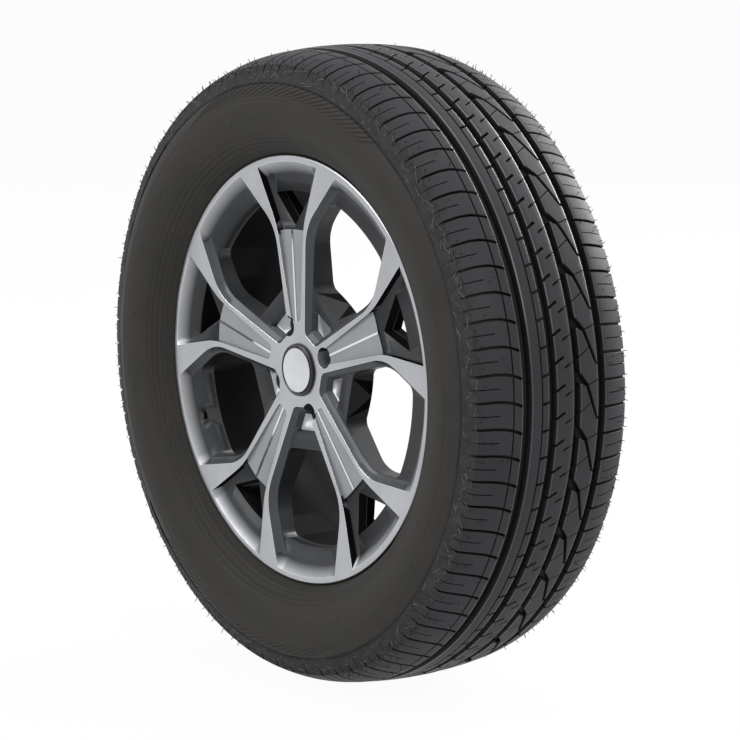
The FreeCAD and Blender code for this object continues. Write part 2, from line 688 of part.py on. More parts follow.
def make_valve_stem():
    front_wall = VALVE_SEAT - VALVE_WALL
    bore = VALVE_TUBE_RADIUS + VALVE_CLEARANCE
    neck = VALVE_HOLE_RADIUS - VALVE_CLEARANCE
    tip = VALVE_CAP_BACK + VALVE_CLEARANCE
    collar_front = front_wall - VALVE_CLEARANCE - VALVE_COLLAR_LENGTH
    points = [
        at(VALVE_SEAT + VALVE_HEAD_THICKNESS, bore),
        at(VALVE_SEAT + VALVE_HEAD_THICKNESS, VALVE_HEAD_RADIUS - VALVE_CLEARANCE),
        at(VALVE_SEAT + VALVE_CLEARANCE, VALVE_HEAD_RADIUS - VALVE_CLEARANCE),
        at(VALVE_SEAT + VALVE_CLEARANCE, neck),
        at(front_wall - VALVE_CLEARANCE, neck),
        at(front_wall - VALVE_CLEARANCE, VALVE_COLLAR_RADIUS),
        at(collar_front, neck),
        at(tip, VALVE_NECK_RADIUS),
        at(tip, bore),
    ]
    return at_valve(turned_polygon(points))


def make_valve_tube():
    back = VALVE_SEAT + VALVE_HEAD_THICKNESS
    tube = rod(VALVE_TUBE_RADIUS, VALVE_MOUTH, back)
    return at_valve(tube.cut(rod(VALVE_TUBE_BORE, VALVE_MOUTH, back)))


def make_valve_core():
    shoulder = VALVE_MOUTH + VALVE_PIN_LENGTH
    body = rod(VALVE_CORE_RADIUS, shoulder, shoulder + VALVE_CORE_LENGTH)
    pin = rod(VALVE_PIN_RADIUS, VALVE_MOUTH, shoulder)
    return at_valve(body.fuse(pin).removeSplitter())


def make_valve_cap():
    cap = rod(VALVE_CAP_RADIUS, VALVE_CAP_FRONT, VALVE_CAP_BACK)
    roof = VALVE_CAP_FRONT + VALVE_CAP_ROOF
    socket = rod(VALVE_TUBE_RADIUS + VALVE_CLEARANCE, roof, VALVE_CAP_BACK)
    return at_valve(cap.cut(socket))


NODES = {
    "tyre_casing": make_tyre_casing,
    "tread_band": make_tread_band,
    "alloy_wheel": make_alloy_wheel,
    "cap_body": make_cap_body,
    "cap_disc": make_cap_disc,
    "cap_spring_ring": make_cap_spring_ring,
    "valve_stem": make_valve_stem,
    "valve_tube": make_valve_tube,
    "valve_core": make_valve_core,
    "valve_cap": make_valve_cap,
}

os.makedirs("parts", exist_ok=True)
for name, make in NODES.items():
    solid = make()
    solid.exportStep("parts/" + name + ".step")
    print(name, len(solid.Solids), solid.isValid(), round(solid.Volume / 1000, 1), "cm3")
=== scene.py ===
"""Retreaded car tyre on a cast alloy wheel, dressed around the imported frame."""

import json
import logging
import math
import random
from dataclasses import dataclass, field
from enum import Enum
from typing import Any, Callable, Iterable, Sequence

import bmesh
import bpy
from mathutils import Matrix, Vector, noise
from mathutils.geometry import delaunay_2d_cdt

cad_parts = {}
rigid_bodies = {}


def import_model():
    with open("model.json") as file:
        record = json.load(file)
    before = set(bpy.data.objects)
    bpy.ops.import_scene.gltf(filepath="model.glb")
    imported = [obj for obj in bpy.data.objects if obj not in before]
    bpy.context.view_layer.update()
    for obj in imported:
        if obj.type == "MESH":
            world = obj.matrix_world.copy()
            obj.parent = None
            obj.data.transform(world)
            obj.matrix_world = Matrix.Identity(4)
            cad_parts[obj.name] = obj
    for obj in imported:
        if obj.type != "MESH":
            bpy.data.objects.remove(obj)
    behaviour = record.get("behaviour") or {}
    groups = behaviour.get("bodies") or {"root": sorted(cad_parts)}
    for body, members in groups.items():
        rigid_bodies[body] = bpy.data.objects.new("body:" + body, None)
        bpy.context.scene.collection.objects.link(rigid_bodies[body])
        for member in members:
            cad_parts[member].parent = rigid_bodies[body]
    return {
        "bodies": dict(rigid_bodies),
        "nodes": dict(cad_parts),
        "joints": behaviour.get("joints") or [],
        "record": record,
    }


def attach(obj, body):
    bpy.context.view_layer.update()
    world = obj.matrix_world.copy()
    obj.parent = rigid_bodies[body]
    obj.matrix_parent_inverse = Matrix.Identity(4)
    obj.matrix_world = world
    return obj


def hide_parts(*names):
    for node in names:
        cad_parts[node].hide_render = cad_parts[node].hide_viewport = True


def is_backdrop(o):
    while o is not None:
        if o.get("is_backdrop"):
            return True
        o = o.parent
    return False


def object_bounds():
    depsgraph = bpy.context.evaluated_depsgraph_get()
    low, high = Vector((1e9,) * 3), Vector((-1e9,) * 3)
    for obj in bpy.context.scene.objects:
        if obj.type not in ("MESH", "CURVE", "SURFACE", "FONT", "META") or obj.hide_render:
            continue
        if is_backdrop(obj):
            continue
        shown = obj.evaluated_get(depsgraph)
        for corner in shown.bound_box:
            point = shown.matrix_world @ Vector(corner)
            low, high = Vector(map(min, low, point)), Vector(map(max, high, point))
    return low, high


LOG = logging.getLogger("tyre")
MM = 0.001
BODY = "root"
# Point attribute with the share of painted shade, for finishes that have a shade colour
PAINTED_SHADE_SHARE = "cut"
THICKNESS = "thick"
# Degrees from which an edge of a swept strand stays sharp
STRAND_SHARP = 60.0
# Millimetres: least half width of a cut's floor, and room kept round its outline's box
LEAST_HALF = 0.08
BOX_SLACK = 0.1
# Keeps a run of no length from dividing by zero
TINY = 1e-12
# Blender's wave texture runs through this many radians for each unit of its scale
WAVE_RATE = 20.0

Point = tuple[float, float]
Path = list[Vector]
Strand = tuple[Path, Callable[[float], float]]


def linear(hex_colour: str) -> tuple[float, float, float, float]:
    """Turn an sRGB hex colour into linear values.

    Args:
        hex_colour: colour as written on screen, such as "#38383c".

    Returns:
        Linear red, green, blue and an alpha of one.
    """
    digits = hex_colour.lstrip("#")
    channels = [int(digits[i:i + 2], 16) / 255 for i in (0, 2, 4)]
    bent = [c / 12.92 if c <= 0.04045 else ((c + 0.055) / 1.055) ** 2.4 for c in channels]
    return bent[0], bent[1], bent[2], 1.0


def add_node(
    tree: bpy.types.NodeTree,
    kind: str,
    inputs: dict[Any, Any] | None = None,
    **settings: Any,
) -> bpy.types.Node:
    """Add one node with its settings, values and links.

    Args:
        tree: node tree that takes the node.
        kind: type name of the node.
        inputs: values, or output sockets to link, by input name or number.
        settings: properties of the node itself.

    Returns:
        The new node.
    """
    made = tree.nodes.new(kind)
    for name, value in settings.items():
        setattr(made, name, value)
    for key, value in (inputs or {}).items():
        if isinstance(value, bpy.types.NodeSocket):
            tree.links.new(value, made.inputs[key])
        else:
            made.inputs[key].default_value = value
    return made


def interpolate(table: Sequence[Point], x: float) -> float:
    """Read a value from a table of (x, value) points, straight between them.

    Args:
        table: points in rising order of x.
        x: place to read.

    Returns:
        The value there, held at both ends.
    """
    if x <= table[0][0]:
        return table[0][1]
    for (x0, v0), (x1, v1) in zip(table, table[1:]):
        if x <= x1:
            return v0 + (v1 - v0) * (x - x0) / (x1 - x0)
    return table[-1][1]


def bell(offset: float, width: float) -> float:
    """Smooth hump of height one at offset zero."""
    return math.exp(-(offset / width) ** 2)


def seen_rays(tree: bpy.types.NodeTree) -> bpy.types.NodeSocket:
    """Add a value for rays that show a surface to the camera, also by reflection or through glass.

    Args:
        tree: node tree of a material or a world.

    Returns:
        Socket that is one for such rays and zero for rays that only carry light.
    """
    rays = add_node(tree, "ShaderNodeLightPath").outputs
    seen = rays["Is Camera Ray"]
    for kind in ("Is Glossy Ray", "Is Transmission Ray"):
        larger = add_node(tree, "ShaderNodeMath", {0: seen, 1: rays[kind]}, operation="MAXIMUM")
        seen = larger.outputs[0]
    return seen


class Pattern(Enum):
    """How the surface of a finish was made."""

    MOULDED = "moulded"
    TURNED = "turned"
    WRINKLED = "wrinkled"


@dataclass(frozen=True)
class Finish:
    """One material: two tones that drift into each other, and a surface pattern."""

    name: str
    colour: str
    tone: str
    roughness: float
    metallic: float = 0.0
    drift_mm: float = 60.0
    grain_mm: float = 1.0
    grain_height_mm: float = 0.05
    roughness_drift: float = 0.08
    coat: float = 0.0
    specular: float = 0.5
    # Colour of painted shade, mixed in by a share stored on the mesh's points; empty for none
    painted_shade_colour: str = ""
    pattern: Pattern = Pattern.MOULDED

    def pattern_height(self, tree: bpy.types.NodeTree, place: bpy.types.NodeSocket) -> Any:
        """Add the surface pattern of this finish.

        Args:
            tree: node tree of the material.
            place: object coordinates in metres.

        Returns:
            Socket with the pattern's height from 0 to 1.
        """
        scale = 1 / (self.grain_mm * MM)
        if self.pattern is Pattern.TURNED:
            wave_scale = 2 * math.pi * scale / WAVE_RATE
            rings = add_node(tree, "ShaderNodeTexWave", {
                "Vector": place, "Scale": wave_scale, "Distortion": 0.4,
                "Detail": 1.0, "Detail Scale": 1.0,
            }, wave_type="RINGS", rings_direction="Y")
            return rings.outputs["Fac"]
        if self.pattern is Pattern.WRINKLED:
            folds = add_node(tree, "ShaderNodeTexNoise", {
                "Vector": place, "Scale": scale, "Detail": 5.0, "Roughness": 0.62,
                "Distortion": 1.4,
            }, noise_type="RIDGED_MULTIFRACTAL")
            return folds.outputs["Fac"]
        grain = add_node(tree, "ShaderNodeTexNoise", {
            "Vector": place, "Scale": scale, "Detail": 3.0, "Roughness": 0.6,
        })
        return grain.outputs["Fac"]

    def build(self) -> bpy.types.Material:
        """Make the material.

        Returns:
            A material on object coordinates, so it needs no unwrapping.
        """
        material = bpy.data.materials.new(self.name)
        material.use_nodes = True
        tree = material.node_tree
        tree.nodes.clear()
        place = add_node(tree, "ShaderNodeTexCoord").outputs["Object"]
        drift = add_node(tree, "ShaderNodeTexNoise", {
            "Vector": place, "Scale": 1 / (self.drift_mm * MM), "Detail": 5.0, "Roughness": 0.6,
        })
        spread = add_node(tree, "ShaderNodeMapRange", {
            "Value": drift.outputs["Fac"], "From Min": 0.33, "From Max": 0.67,
        })
        tint = add_node(tree, "ShaderNodeMix", {
            0: spread.outputs["Result"], 6: linear(self.colour), 7: linear(self.tone),
        }, data_type="RGBA")
        colour = tint.outputs[2]
        # Painted shade: mix towards the shade colour by the share stored on the mesh's points
        if self.painted_shade_colour:
            cut = add_node(tree, "ShaderNodeAttribute", attribute_name=PAINTED_SHADE_SHARE)
            colour = add_node(tree, "ShaderNodeMix", {
                0: cut.outputs["Fac"], 6: colour, 7: linear(self.painted_shade_colour),
            }, data_type="RGBA").outputs[2]
        sheen = add_node(tree, "ShaderNodeMapRange", {
            "Value": drift.outputs["Fac"], "From Min": 0.3, "From Max": 0.7,
            "To Min": self.roughness - self.roughness_drift,
            "To Max": self.roughness + self.roughness_drift,
        })
        bump = add_node(tree, "ShaderNodeBump", {
            "Strength": 1.0, "Distance": self.grain_height_mm * MM,
            "Height": self.pattern_height(tree, place),
        })
        shader = add_node(tree, "ShaderNodeBsdfPrincipled", {
            "Base Color": colour, "Roughness": sheen.outputs["Result"],
            "Metallic": self.metallic, "Coat Weight": self.coat,
            "Specular IOR Level": self.specular, "Normal": bump.outputs["Normal"],
        })
        add_node(tree, "ShaderNodeOutputMaterial", {"Surface": shader.outputs["BSDF"]})
        return material


# Cured tread compound: dull and near black, with painted shade that blackens it down into its grooves
TREAD_RUBBER = Finish("cured_tread_rubber", "#252427", "#2d2c30", 0.58, grain_mm=0.9,
                      grain_height_mm=0.05, specular=0.22, painted_shade_colour="#050506")
# Broken edges of the ribs: the same compound, left smooth by the mould's steel
RIM_RUBBER = Finish("mould_smooth_rubber", "#2a292c", "#333236", 0.34, grain_mm=0.9,
                    grain_height_mm=0.02, specular=0.5)
# Old casing rubber: warmer and a little browner than the new tread
SIDEWALL_RUBBER = Finish("aged_sidewall_rubber", "#292826", "#33312f", 0.6, grain_mm=0.8,
                         grain_height_mm=0.04, drift_mm=45.0, specular=0.2)
# Fine moulded strokes of the sidewall's fans: darker, as their flanks hold no light
FAN_RUBBER = Finish("moulded_fan_rubber", "#1d1b19", "#272421", 0.62, grain_mm=0.8,
                    drift_mm=30.0, specular=0.2)
# Cushion gum squeezed out and buffed at the joint: grey and crumpled
JOINT_RUBBER = Finish("buffed_joint_rubber", "#292829", "#3c3b3b", 0.8, grain_mm=7.0,
                      grain_height_mm=0.9, drift_mm=9.0, specular=0.2, pattern=Pattern.WRINKLED)
# Cut ends of fabric and gum left by the buffing rasp: pale fluff
JOINT_THREAD = Finish("rasped_gum_threads", "#6f6e6d", "#a09f9d", 0.85, grain_mm=1.5,
                      drift_mm=12.0, specular=0.2)
# Thin rubber hairs from the mould's vents
VENT_RUBBER = Finish("vent_hair_rubber", "#161618", "#202022", 0.6, drift_mm=20.0, specular=0.2)
# Diamond-cut aluminium under clear lacquer: rings too fine to see are drawn at 1.2 mm
CUT_ALLOY = Finish("diamond_cut_aluminium", "#b4b6ba", "#a6a8ac", 0.3, metallic=1.0,
                   drift_mm=90.0, grain_mm=1.2, grain_height_mm=0.008, roughness_drift=0.04,
                   coat=0.3, pattern=Pattern.TURNED)
# Broken edge of the cut face: catches the light as a fine bright line
CUT_EDGE = Finish("polished_aluminium_edge", "#e6e8ea", "#dadcdf", 0.18, metallic=1.0,
                  grain_height_mm=0.004)
# Silver wheel paint: fine metal flake in the spoke channels
CHANNEL_PAINT = Finish("grey_metallic_paint", "#94979b", "#8a8d90", 0.5, metallic=0.45,
                       grain_mm=0.6, grain_height_mm=0.006, coat=0.3)
# Lighter cast pads between the spokes
PAD_PAINT = Finish("silver_metallic_paint", "#aeb0b2", "#9da0a2", 0.42, metallic=0.7,
                   grain_mm=0.6, grain_height_mm=0.008, coat=0.2)
# Sides of the spokes: dark metallic paint
SIDE_PAINT = Finish("gunmetal_paint", "#3f4245", "#373a3d", 0.42, metallic=0.5,
                    grain_mm=0.7, grain_height_mm=0.008, coat=0.2)
# Bevel inside the lip: silver paint, with painted shade that darkens it towards the barrel
LIP_PAINT = Finish("grey_lip_paint", "#a6a8ab", "#9b9da0", 0.4, metallic=0.7, painted_shade_colour="#26282a",
                   grain_mm=0.6, grain_height_mm=0.006, coat=0.2)
# Fork wells, and the ledge below the bevel: dark paint
LEDGE_PAINT = Finish("slate_paint", "#27292c", "#212326", 0.5, metallic=0.4,
                     grain_mm=0.7, grain_height_mm=0.01, coat=0.1)
# Barrel and back: black paint over the cast skin
BARREL_PAINT = Finish("black_wheel_paint", "#060607", "#0a0a0b", 0.75, grain_mm=1.1,
                      grain_height_mm=0.02, roughness_drift=0.05, specular=0.04)
# Cap body and valve cap: glossy moulded ABS
BLACK_PLASTIC = Finish("black_abs_plastic", "#0d0d0f", "#141416", 0.3, grain_height_mm=0.006)
# Bare cap insert: bright chrome plating
CHROME = Finish("chrome_plated_disc", "#d4d6da", "#c6c8cc", 0.12, metallic=1.0,
                grain_height_mm=0.003, roughness_drift=0.03)
# Ring that spreads the cap's clips: drawn wire
SPRING_STEEL = Finish("drawn_spring_steel", "#85878a", "#74767a", 0.35, metallic=1.0,
                      grain_mm=0.4, grain_height_mm=0.01)
# Snap-in valve body: firm black rubber
VALVE_RUBBER = Finish("moulded_valve_rubber", "#1c1c1d", "#252526", 0.55, grain_mm=0.5)
# Valve tube and core: turned brass
BRASS = Finish("turned_brass", "#b08d45", "#9c7a38", 0.3, metallic=1.0, grain_mm=0.5,
               grain_height_mm=0.01)


class Trees:
    """Geometry node trees that repeat a module round the axle and sweep thin strands."""

    def __init__(self) -> None:
        """Build both trees once."""
        self.spin = self.spin_tree()
        self.sweep = self.sweep_tree()

    @staticmethod
    def new_tree(name: str, sockets: Sequence[tuple[str, str]]) -> bpy.types.NodeTree:
        """Start a tree with a geometry input, named inputs and a geometry output.

        Args:
            name: name of the tree.
            sockets: name and socket type of each input after the geometry.

        Returns:
            The tree, with no nodes in it yet.
        """
        tree = bpy.data.node_groups.new(name, "GeometryNodeTree")
        tree.interface.new_socket("Geometry", in_out="INPUT", socket_type="NodeSocketGeometry")
        for label, kind in sockets:
            tree.interface.new_socket(label, in_out="INPUT", socket_type=kind)
        tree.interface.new_socket("Geometry", in_out="OUTPUT", socket_type="NodeSocketGeometry")
        return tree

    def spin_tree(self) -> bpy.types.NodeTree:
        """Make the tree that sets copies of one module side by side round the axle.

        Returns:
            A tree with inputs Count, Step, Seam and Material.
        """
        tree = self.new_tree("spin_round_axle", [
            ("Count", "NodeSocketInt"), ("Step", "NodeSocketFloat"),
            ("Seam", "NodeSocketFloat"), ("Material", "NodeSocketMaterial"),
        ])
        given = add_node(tree, "NodeGroupInput").outputs
        index = add_node(tree, "GeometryNodeInputIndex").outputs["Index"]
        turn = add_node(tree, "ShaderNodeMath", {0: index, 1: given["Step"]},
                        operation="MULTIPLY")
        rotation = add_node(tree, "ShaderNodeCombineXYZ", {"Y": turn.outputs[0]})
        points = add_node(tree, "GeometryNodeMeshLine", {
            "Count": given["Count"], "Offset": (0.0, 0.0, 0.0),
        })
        copies = add_node(tree, "GeometryNodeInstanceOnPoints", {
            "Points": points.outputs["Mesh"], "Instance": given["Geometry"],
            "Rotation": rotation.outputs["Vector"],
        })
        real = add_node(tree, "GeometryNodeRealizeInstances",
                        {"Geometry": copies.outputs["Instances"]})
        closed = add_node(tree, "GeometryNodeMergeByDistance", {
            "Geometry": real.outputs["Geometry"], "Distance": given["Seam"],
        })
        dressed = add_node(tree, "GeometryNodeSetMaterial", {
            "Geometry": closed.outputs["Geometry"], "Material": given["Material"],
        })
        add_node(tree, "NodeGroupOutput", {"Geometry": dressed.outputs["Geometry"]})
        return tree

    def sweep_tree(self) -> bpy.types.NodeTree:
        """Make the tree that sweeps a round section along edges.

        Returns:
            A tree with inputs Sides and Material; each point's attribute thick is its radius.
        """
        tree = self.new_tree("sweep_strands", [
            ("Sides", "NodeSocketInt"), ("Material", "NodeSocketMaterial"),
        ])
        given = add_node(tree, "NodeGroupInput").outputs
        curves = add_node(tree, "GeometryNodeMeshToCurve", {"Mesh": given["Geometry"]})
        thick = add_node(tree, "GeometryNodeInputNamedAttribute", {"Name": THICKNESS},
                         data_type="FLOAT")
        section = add_node(tree, "GeometryNodeCurvePrimitiveCircle", {
            "Resolution": given["Sides"], "Radius": 1.0,
        })
        tubes = add_node(tree, "GeometryNodeCurveToMesh", {
            "Curve": curves.outputs["Curve"], "Profile Curve": section.outputs["Curve"],
            "Scale": thick.outputs["Attribute"], "Fill Caps": True,
        })
        real = add_node(tree, "GeometryNodeRealizeInstances",
                        {"Geometry": tubes.outputs["Mesh"]})
        dressed = add_node(tree, "GeometryNodeSetMaterial", {
            "Geometry": real.outputs["Geometry"], "Material": given["Material"],
        })
        add_node(tree, "NodeGroupOutput", {"Geometry": dressed.outputs["Geometry"]})
        return tree

    @staticmethod
    def run(mesh: bpy.types.Mesh, tree: bpy.types.NodeTree, values: dict[str, Any]) -> bpy.types.Mesh:
        """Run a tree on a mesh and keep the result as a plain mesh.

        Args:
            mesh: mesh that goes into the tree.
            tree: geometry node tree.
            values: the tree's named inputs.

        Returns:
            The finished mesh, with no modifier left on it.
        """
        carrier = bpy.data.objects.new(mesh.name, mesh)
        bpy.context.scene.collection.objects.link(carrier)
        modifier = carrier.modifiers.new("grow", "NODES")
        modifier.node_group = tree
        for item in tree.interface.items_tree:
            if item.item_type == "SOCKET" and item.in_out == "INPUT" and item.name in values:
                modifier[item.identifier] = values[item.name]
        depsgraph = bpy.context.evaluated_depsgraph_get()
        result = bpy.data.meshes.new_from_object(carrier.evaluated_get(depsgraph))
        carrier.modifiers.remove(modifier)
        bpy.data.objects.remove(carrier)
        return result

    def grow(self, name: str, strands: Iterable[Strand], sides: int, finish: Finish, slot: str) -> None:
        """Sweep strands into one piece.

        Args:
            name: name of the piece.
            strands: each strand's points and its radius along them.
            sides: number of sides of the section.
            finish: the strands' finish.
            slot: material slot of the record.
        """
        mesh = self.run(strands_mesh(name, strands), self.sweep,
                        {"Sides": sides, "Material": finish.build()})
        smooth(mesh, STRAND_SHARP)
        add_piece(name, mesh, slot)


def smooth(mesh: bpy.types.Mesh, sharp_degrees: float) -> None:
    """Shade a mesh smooth, apart from sharp edges.

    Args:
        mesh: mesh to shade.
        sharp_degrees: angle from which an edge stays sharp.
    """
    mesh.polygons.foreach_set("use_smooth", [True] * len(mesh.polygons))
    mesh.set_sharp_from_angle(angle=math.radians(sharp_degrees))
    mesh.update()


def add_piece(name: str, mesh: bpy.types.Mesh, slot: str, *nodes: str) -> bpy.types.Object:
    """Put a finished mesh in the scene as a piece of the one body.

    Args:
        name: name of the piece.
        mesh: mesh in place, in metres.
        slot: material slot of the record; not used.
        nodes: frame nodes that the piece stands for.

    Returns:
        The new object.
    """
    mesh.name = name
    piece = bpy.data.objects.new(name, mesh)
    bpy.context.scene.collection.objects.link(piece)
    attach(piece, BODY)
    if nodes:
        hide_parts(*nodes)
    LOG.info("%s: %d faces", name, len(mesh.polygons))
    return piece


def strands_mesh(name: str, strands: Iterable[Strand]) -> bpy.types.Mesh:
    """Make a mesh of edges for the sweep tree.

    Args:
        name: name of the mesh.
        strands: each strand's points in metres, and its radius from 0 to 1 along it.

    Returns:
        A mesh of open edge chains with the attribute thick.
    """
    points: Path = []
    edges: list[tuple[int, int]] = []
    radii: list[float] = []
    for path, radius in strands:
        first = len(points)
        points += path
        edges += [(first + i, first + i + 1) for i in range(len(path) - 1)]
        radii += [radius(i / (len(path) - 1)) for i in range(len(path))]
    mesh = bpy.data.meshes.new(name)
    mesh.from_pydata(points, edges, [])
    mesh.attributes.new(THICKNESS, "FLOAT", "POINT").data.foreach_set("value", radii)
    return mesh


@dataclass
class TyreShape:
    """Outer section of the tyre in millimetres, shared by the tread and the casing."""

    radius: float = 351.0
    crown_arc: float = 450.0
    crown_half: float = 62.0
    shoulder_half: float = 98.5
    shoulder_radius: float = 334.0
    wing_half: float = 106.0
    wing_radius: float = 316.0
    bulge_half: float = 113.5
    bulge_radius: float = 290.0
    foot_half: float = 89.2
    foot_radius: float = 241.0
    buff_half: float = 86.0
    buff_edge_radius: float = 326.0
    buff_top_radius: float = 338.0
    buff_steps: int = 3
    flat_spot: float = 1.7

    def crown(self, across: float) -> float:
        """Radius of the plain tread surface, shoulders and joint faces.

        Args:
            across: place along the axle, from the middle of the tread.

        Returns:
            Radius there, with no groove.
        """
        side = abs(across)
        if side <= self.crown_half:
            return self.radius - self.crown_arc + math.sqrt(self.crown_arc ** 2 - side ** 2)
        if side >= self.shoulder_half:
            fall = (self.shoulder_radius - self.wing_radius) / (self.wing_half - self.shoulder_half)
            return self.shoulder_radius - fall * (side - self.shoulder_half)
        start = self.crown(self.crown_half)
        slope = -self.crown_half / math.sqrt(self.crown_arc ** 2 - self.crown_half ** 2)
        along = Vector((1.0, slope)).normalized()
        chord = Vector((self.shoulder_half - self.crown_half, self.shoulder_radius - start))
        aside = (chord - along * chord.dot(along)).normalized()
        bend = chord.length_squared / (2 * chord.dot(aside))
        centre = Vector((self.crown_half, start)) + aside * bend
        return centre.y + math.sqrt(bend ** 2 - (side - centre.x) ** 2)

    def buffed(self, across: float) -> float:
        """Radius of the bonded surface under the tread.

        Args:
            across: place along the axle, from the middle of the tread.

        Returns:
            Radius of the buffed casing there.
        """
        side = abs(across)
        if side >= self.buff_half:
            share = (side - self.buff_half) / (self.wing_half - self.buff_half)
            return self.buff_edge_radius + share * (self.wing_radius - self.buff_edge_radius)
        drop = self.buff_top_radius - self.buff_edge_radius
        arc = (self.buff_half ** 2 + drop ** 2) / (2 * drop)
        return self.buff_top_radius - arc + math.sqrt(arc ** 2 - side ** 2)

    def buffed_places(self) -> list[float]:
        """Places across where the bonded surface bends, from the far side to the near one."""
        steps = self.buff_steps
        return [self.buff_half * k / steps for k in range(steps, -steps - 1, -1)]

    def sidewall(self, radius: float) -> float:
        """Half width of the casing's outer wall.

        Args:
            radius: radius on the wall.

        Returns:
            Distance from the tyre's middle plane.
        """
        end = Vector((self.wing_half, self.wing_radius))
        if radius < self.bulge_radius:
            end = Vector((self.foot_half, self.foot_radius))
        inward = self.bulge_half - end.x
        bend = (inward ** 2 + (end.y - self.bulge_radius) ** 2) / (2 * inward)
        rise = radius - self.bulge_radius
        return self.bulge_half - bend + math.sqrt(bend ** 2 - rise ** 2)


def round_point(across: float, radius: float, angle: float) -> Vector:
    """Point in metres from a place across, a radius in millimetres and an angle in radians."""
    return Vector((radius * math.cos(angle), across, radius * math.sin(angle))) * MM


@dataclass(frozen=True)
class RingGroove:
    """Groove round the tread: middle, width at its mouth, depth, wall draft and broken edge."""

    middle: float
    width: float
    depth: float
    draft: float
    bevel_depth: float
    bevel_width: float

    def section(self) -> list[Point]:
        """Depth by distance from the middle."""
        half = self.width / 2
        return [(0.0, self.depth), (half - self.draft, self.depth), (half, self.bevel_depth),
                (half + self.bevel_width, 0.0)]

    def lines(self) -> list[float]:
        """Places across where the section bends."""
        steps = [step for step, _ in self.section()[1:]]
        return [self.middle + side * step for side in (-1, 1) for step in steps]


@dataclass(frozen=True)
class Slot:
    """Cut across the tread: centre line as (across, round) points, its widths and its depth."""

    line: tuple[Point, ...]
    widths: tuple[float, ...]
    depth: float
    per_module: int = 2
    start: float = 0.0

    def centre(self, step: float) -> list[tuple[Vector, float]]:
        """Cut the centre line into short runs.

        Args:
            step: longest run between points.

        Returns:
            Each point with the half width there.
        """
        result: list[tuple[Vector, float]] = []
        widths = self.widths if len(self.widths) > 1 else self.widths * len(self.line)
        for i in range(len(self.line) - 1):
            a, b = Vector(self.line[i]), Vector(self.line[i + 1])
            runs = max(1, round((b - a).length / step))
            for k in range(runs):
                share = k / runs
                result.append((a.lerp(b, share), (widths[i] + (widths[i + 1] - widths[i]) * share) / 2))
        result.append((Vector(self.line[-1]), widths[-1] / 2))
        return result

    def loop(self, shift: float, inset: float, step: float) -> list[Vector]:
        """Closed outline of the cut.

        Args:
            shift: how far round the tread the cut starts.
            inset: how far the outline lies inside the cut's mouth.
            step: longest run between points.

        Returns:
            Points in order, first one side and then back along the other.
        """
        run = self.centre(step)
        left: list[Vector] = []
        right: list[Vector] = []
        for i, (spot, half) in enumerate(run):
            before = run[max(i - 1, 0)][0]
            after = run[min(i + 1, len(run) - 1)][0]
            along = (after - before).normalized()
            if i == 0:
                spot = spot + along * inset
            if i == len(run) - 1:
                spot = spot - along * inset
            aside = Vector((-along.y, along.x)) * max(half - inset, LEAST_HALF)
            left.append(spot + aside + Vector((0.0, shift)))
            right.append(spot - aside + Vector((0.0, shift)))
        return left + right[::-1]


@dataclass(frozen=True)
class Cut:
    """Outlines of one cut on the flat module, its depth and the depth of its broken rim."""

    rim: list[Vector]
    mouth: list[Vector]
    floor: list[Vector]
    depth: float
    chamfer: float


def inside(loop: Sequence[Vector], spot: Vector, slack: float) -> bool:
    """Tell whether a point lies in a closed outline or close to its edge.

    Args:
        loop: points of the outline in order.
        spot: point to look at.
        slack: distance from the edge that still counts.

    Returns:
        True for a point inside or at the edge.
    """
    crossings = False
    for a, b in zip(loop, list(loop[1:]) + [loop[0]]):
        run = b - a
        share = min(1.0, max(0.0, (spot - a).dot(run) / max(run.length_squared, TINY)))
        if (a + run * share - spot).length < slack:
            return True
        if (a.y > spot.y) != (b.y > spot.y):
            if spot.x < a.x + run.x * (spot.y - a.y) / run.y:
                crossings = not crossings
    return crossings


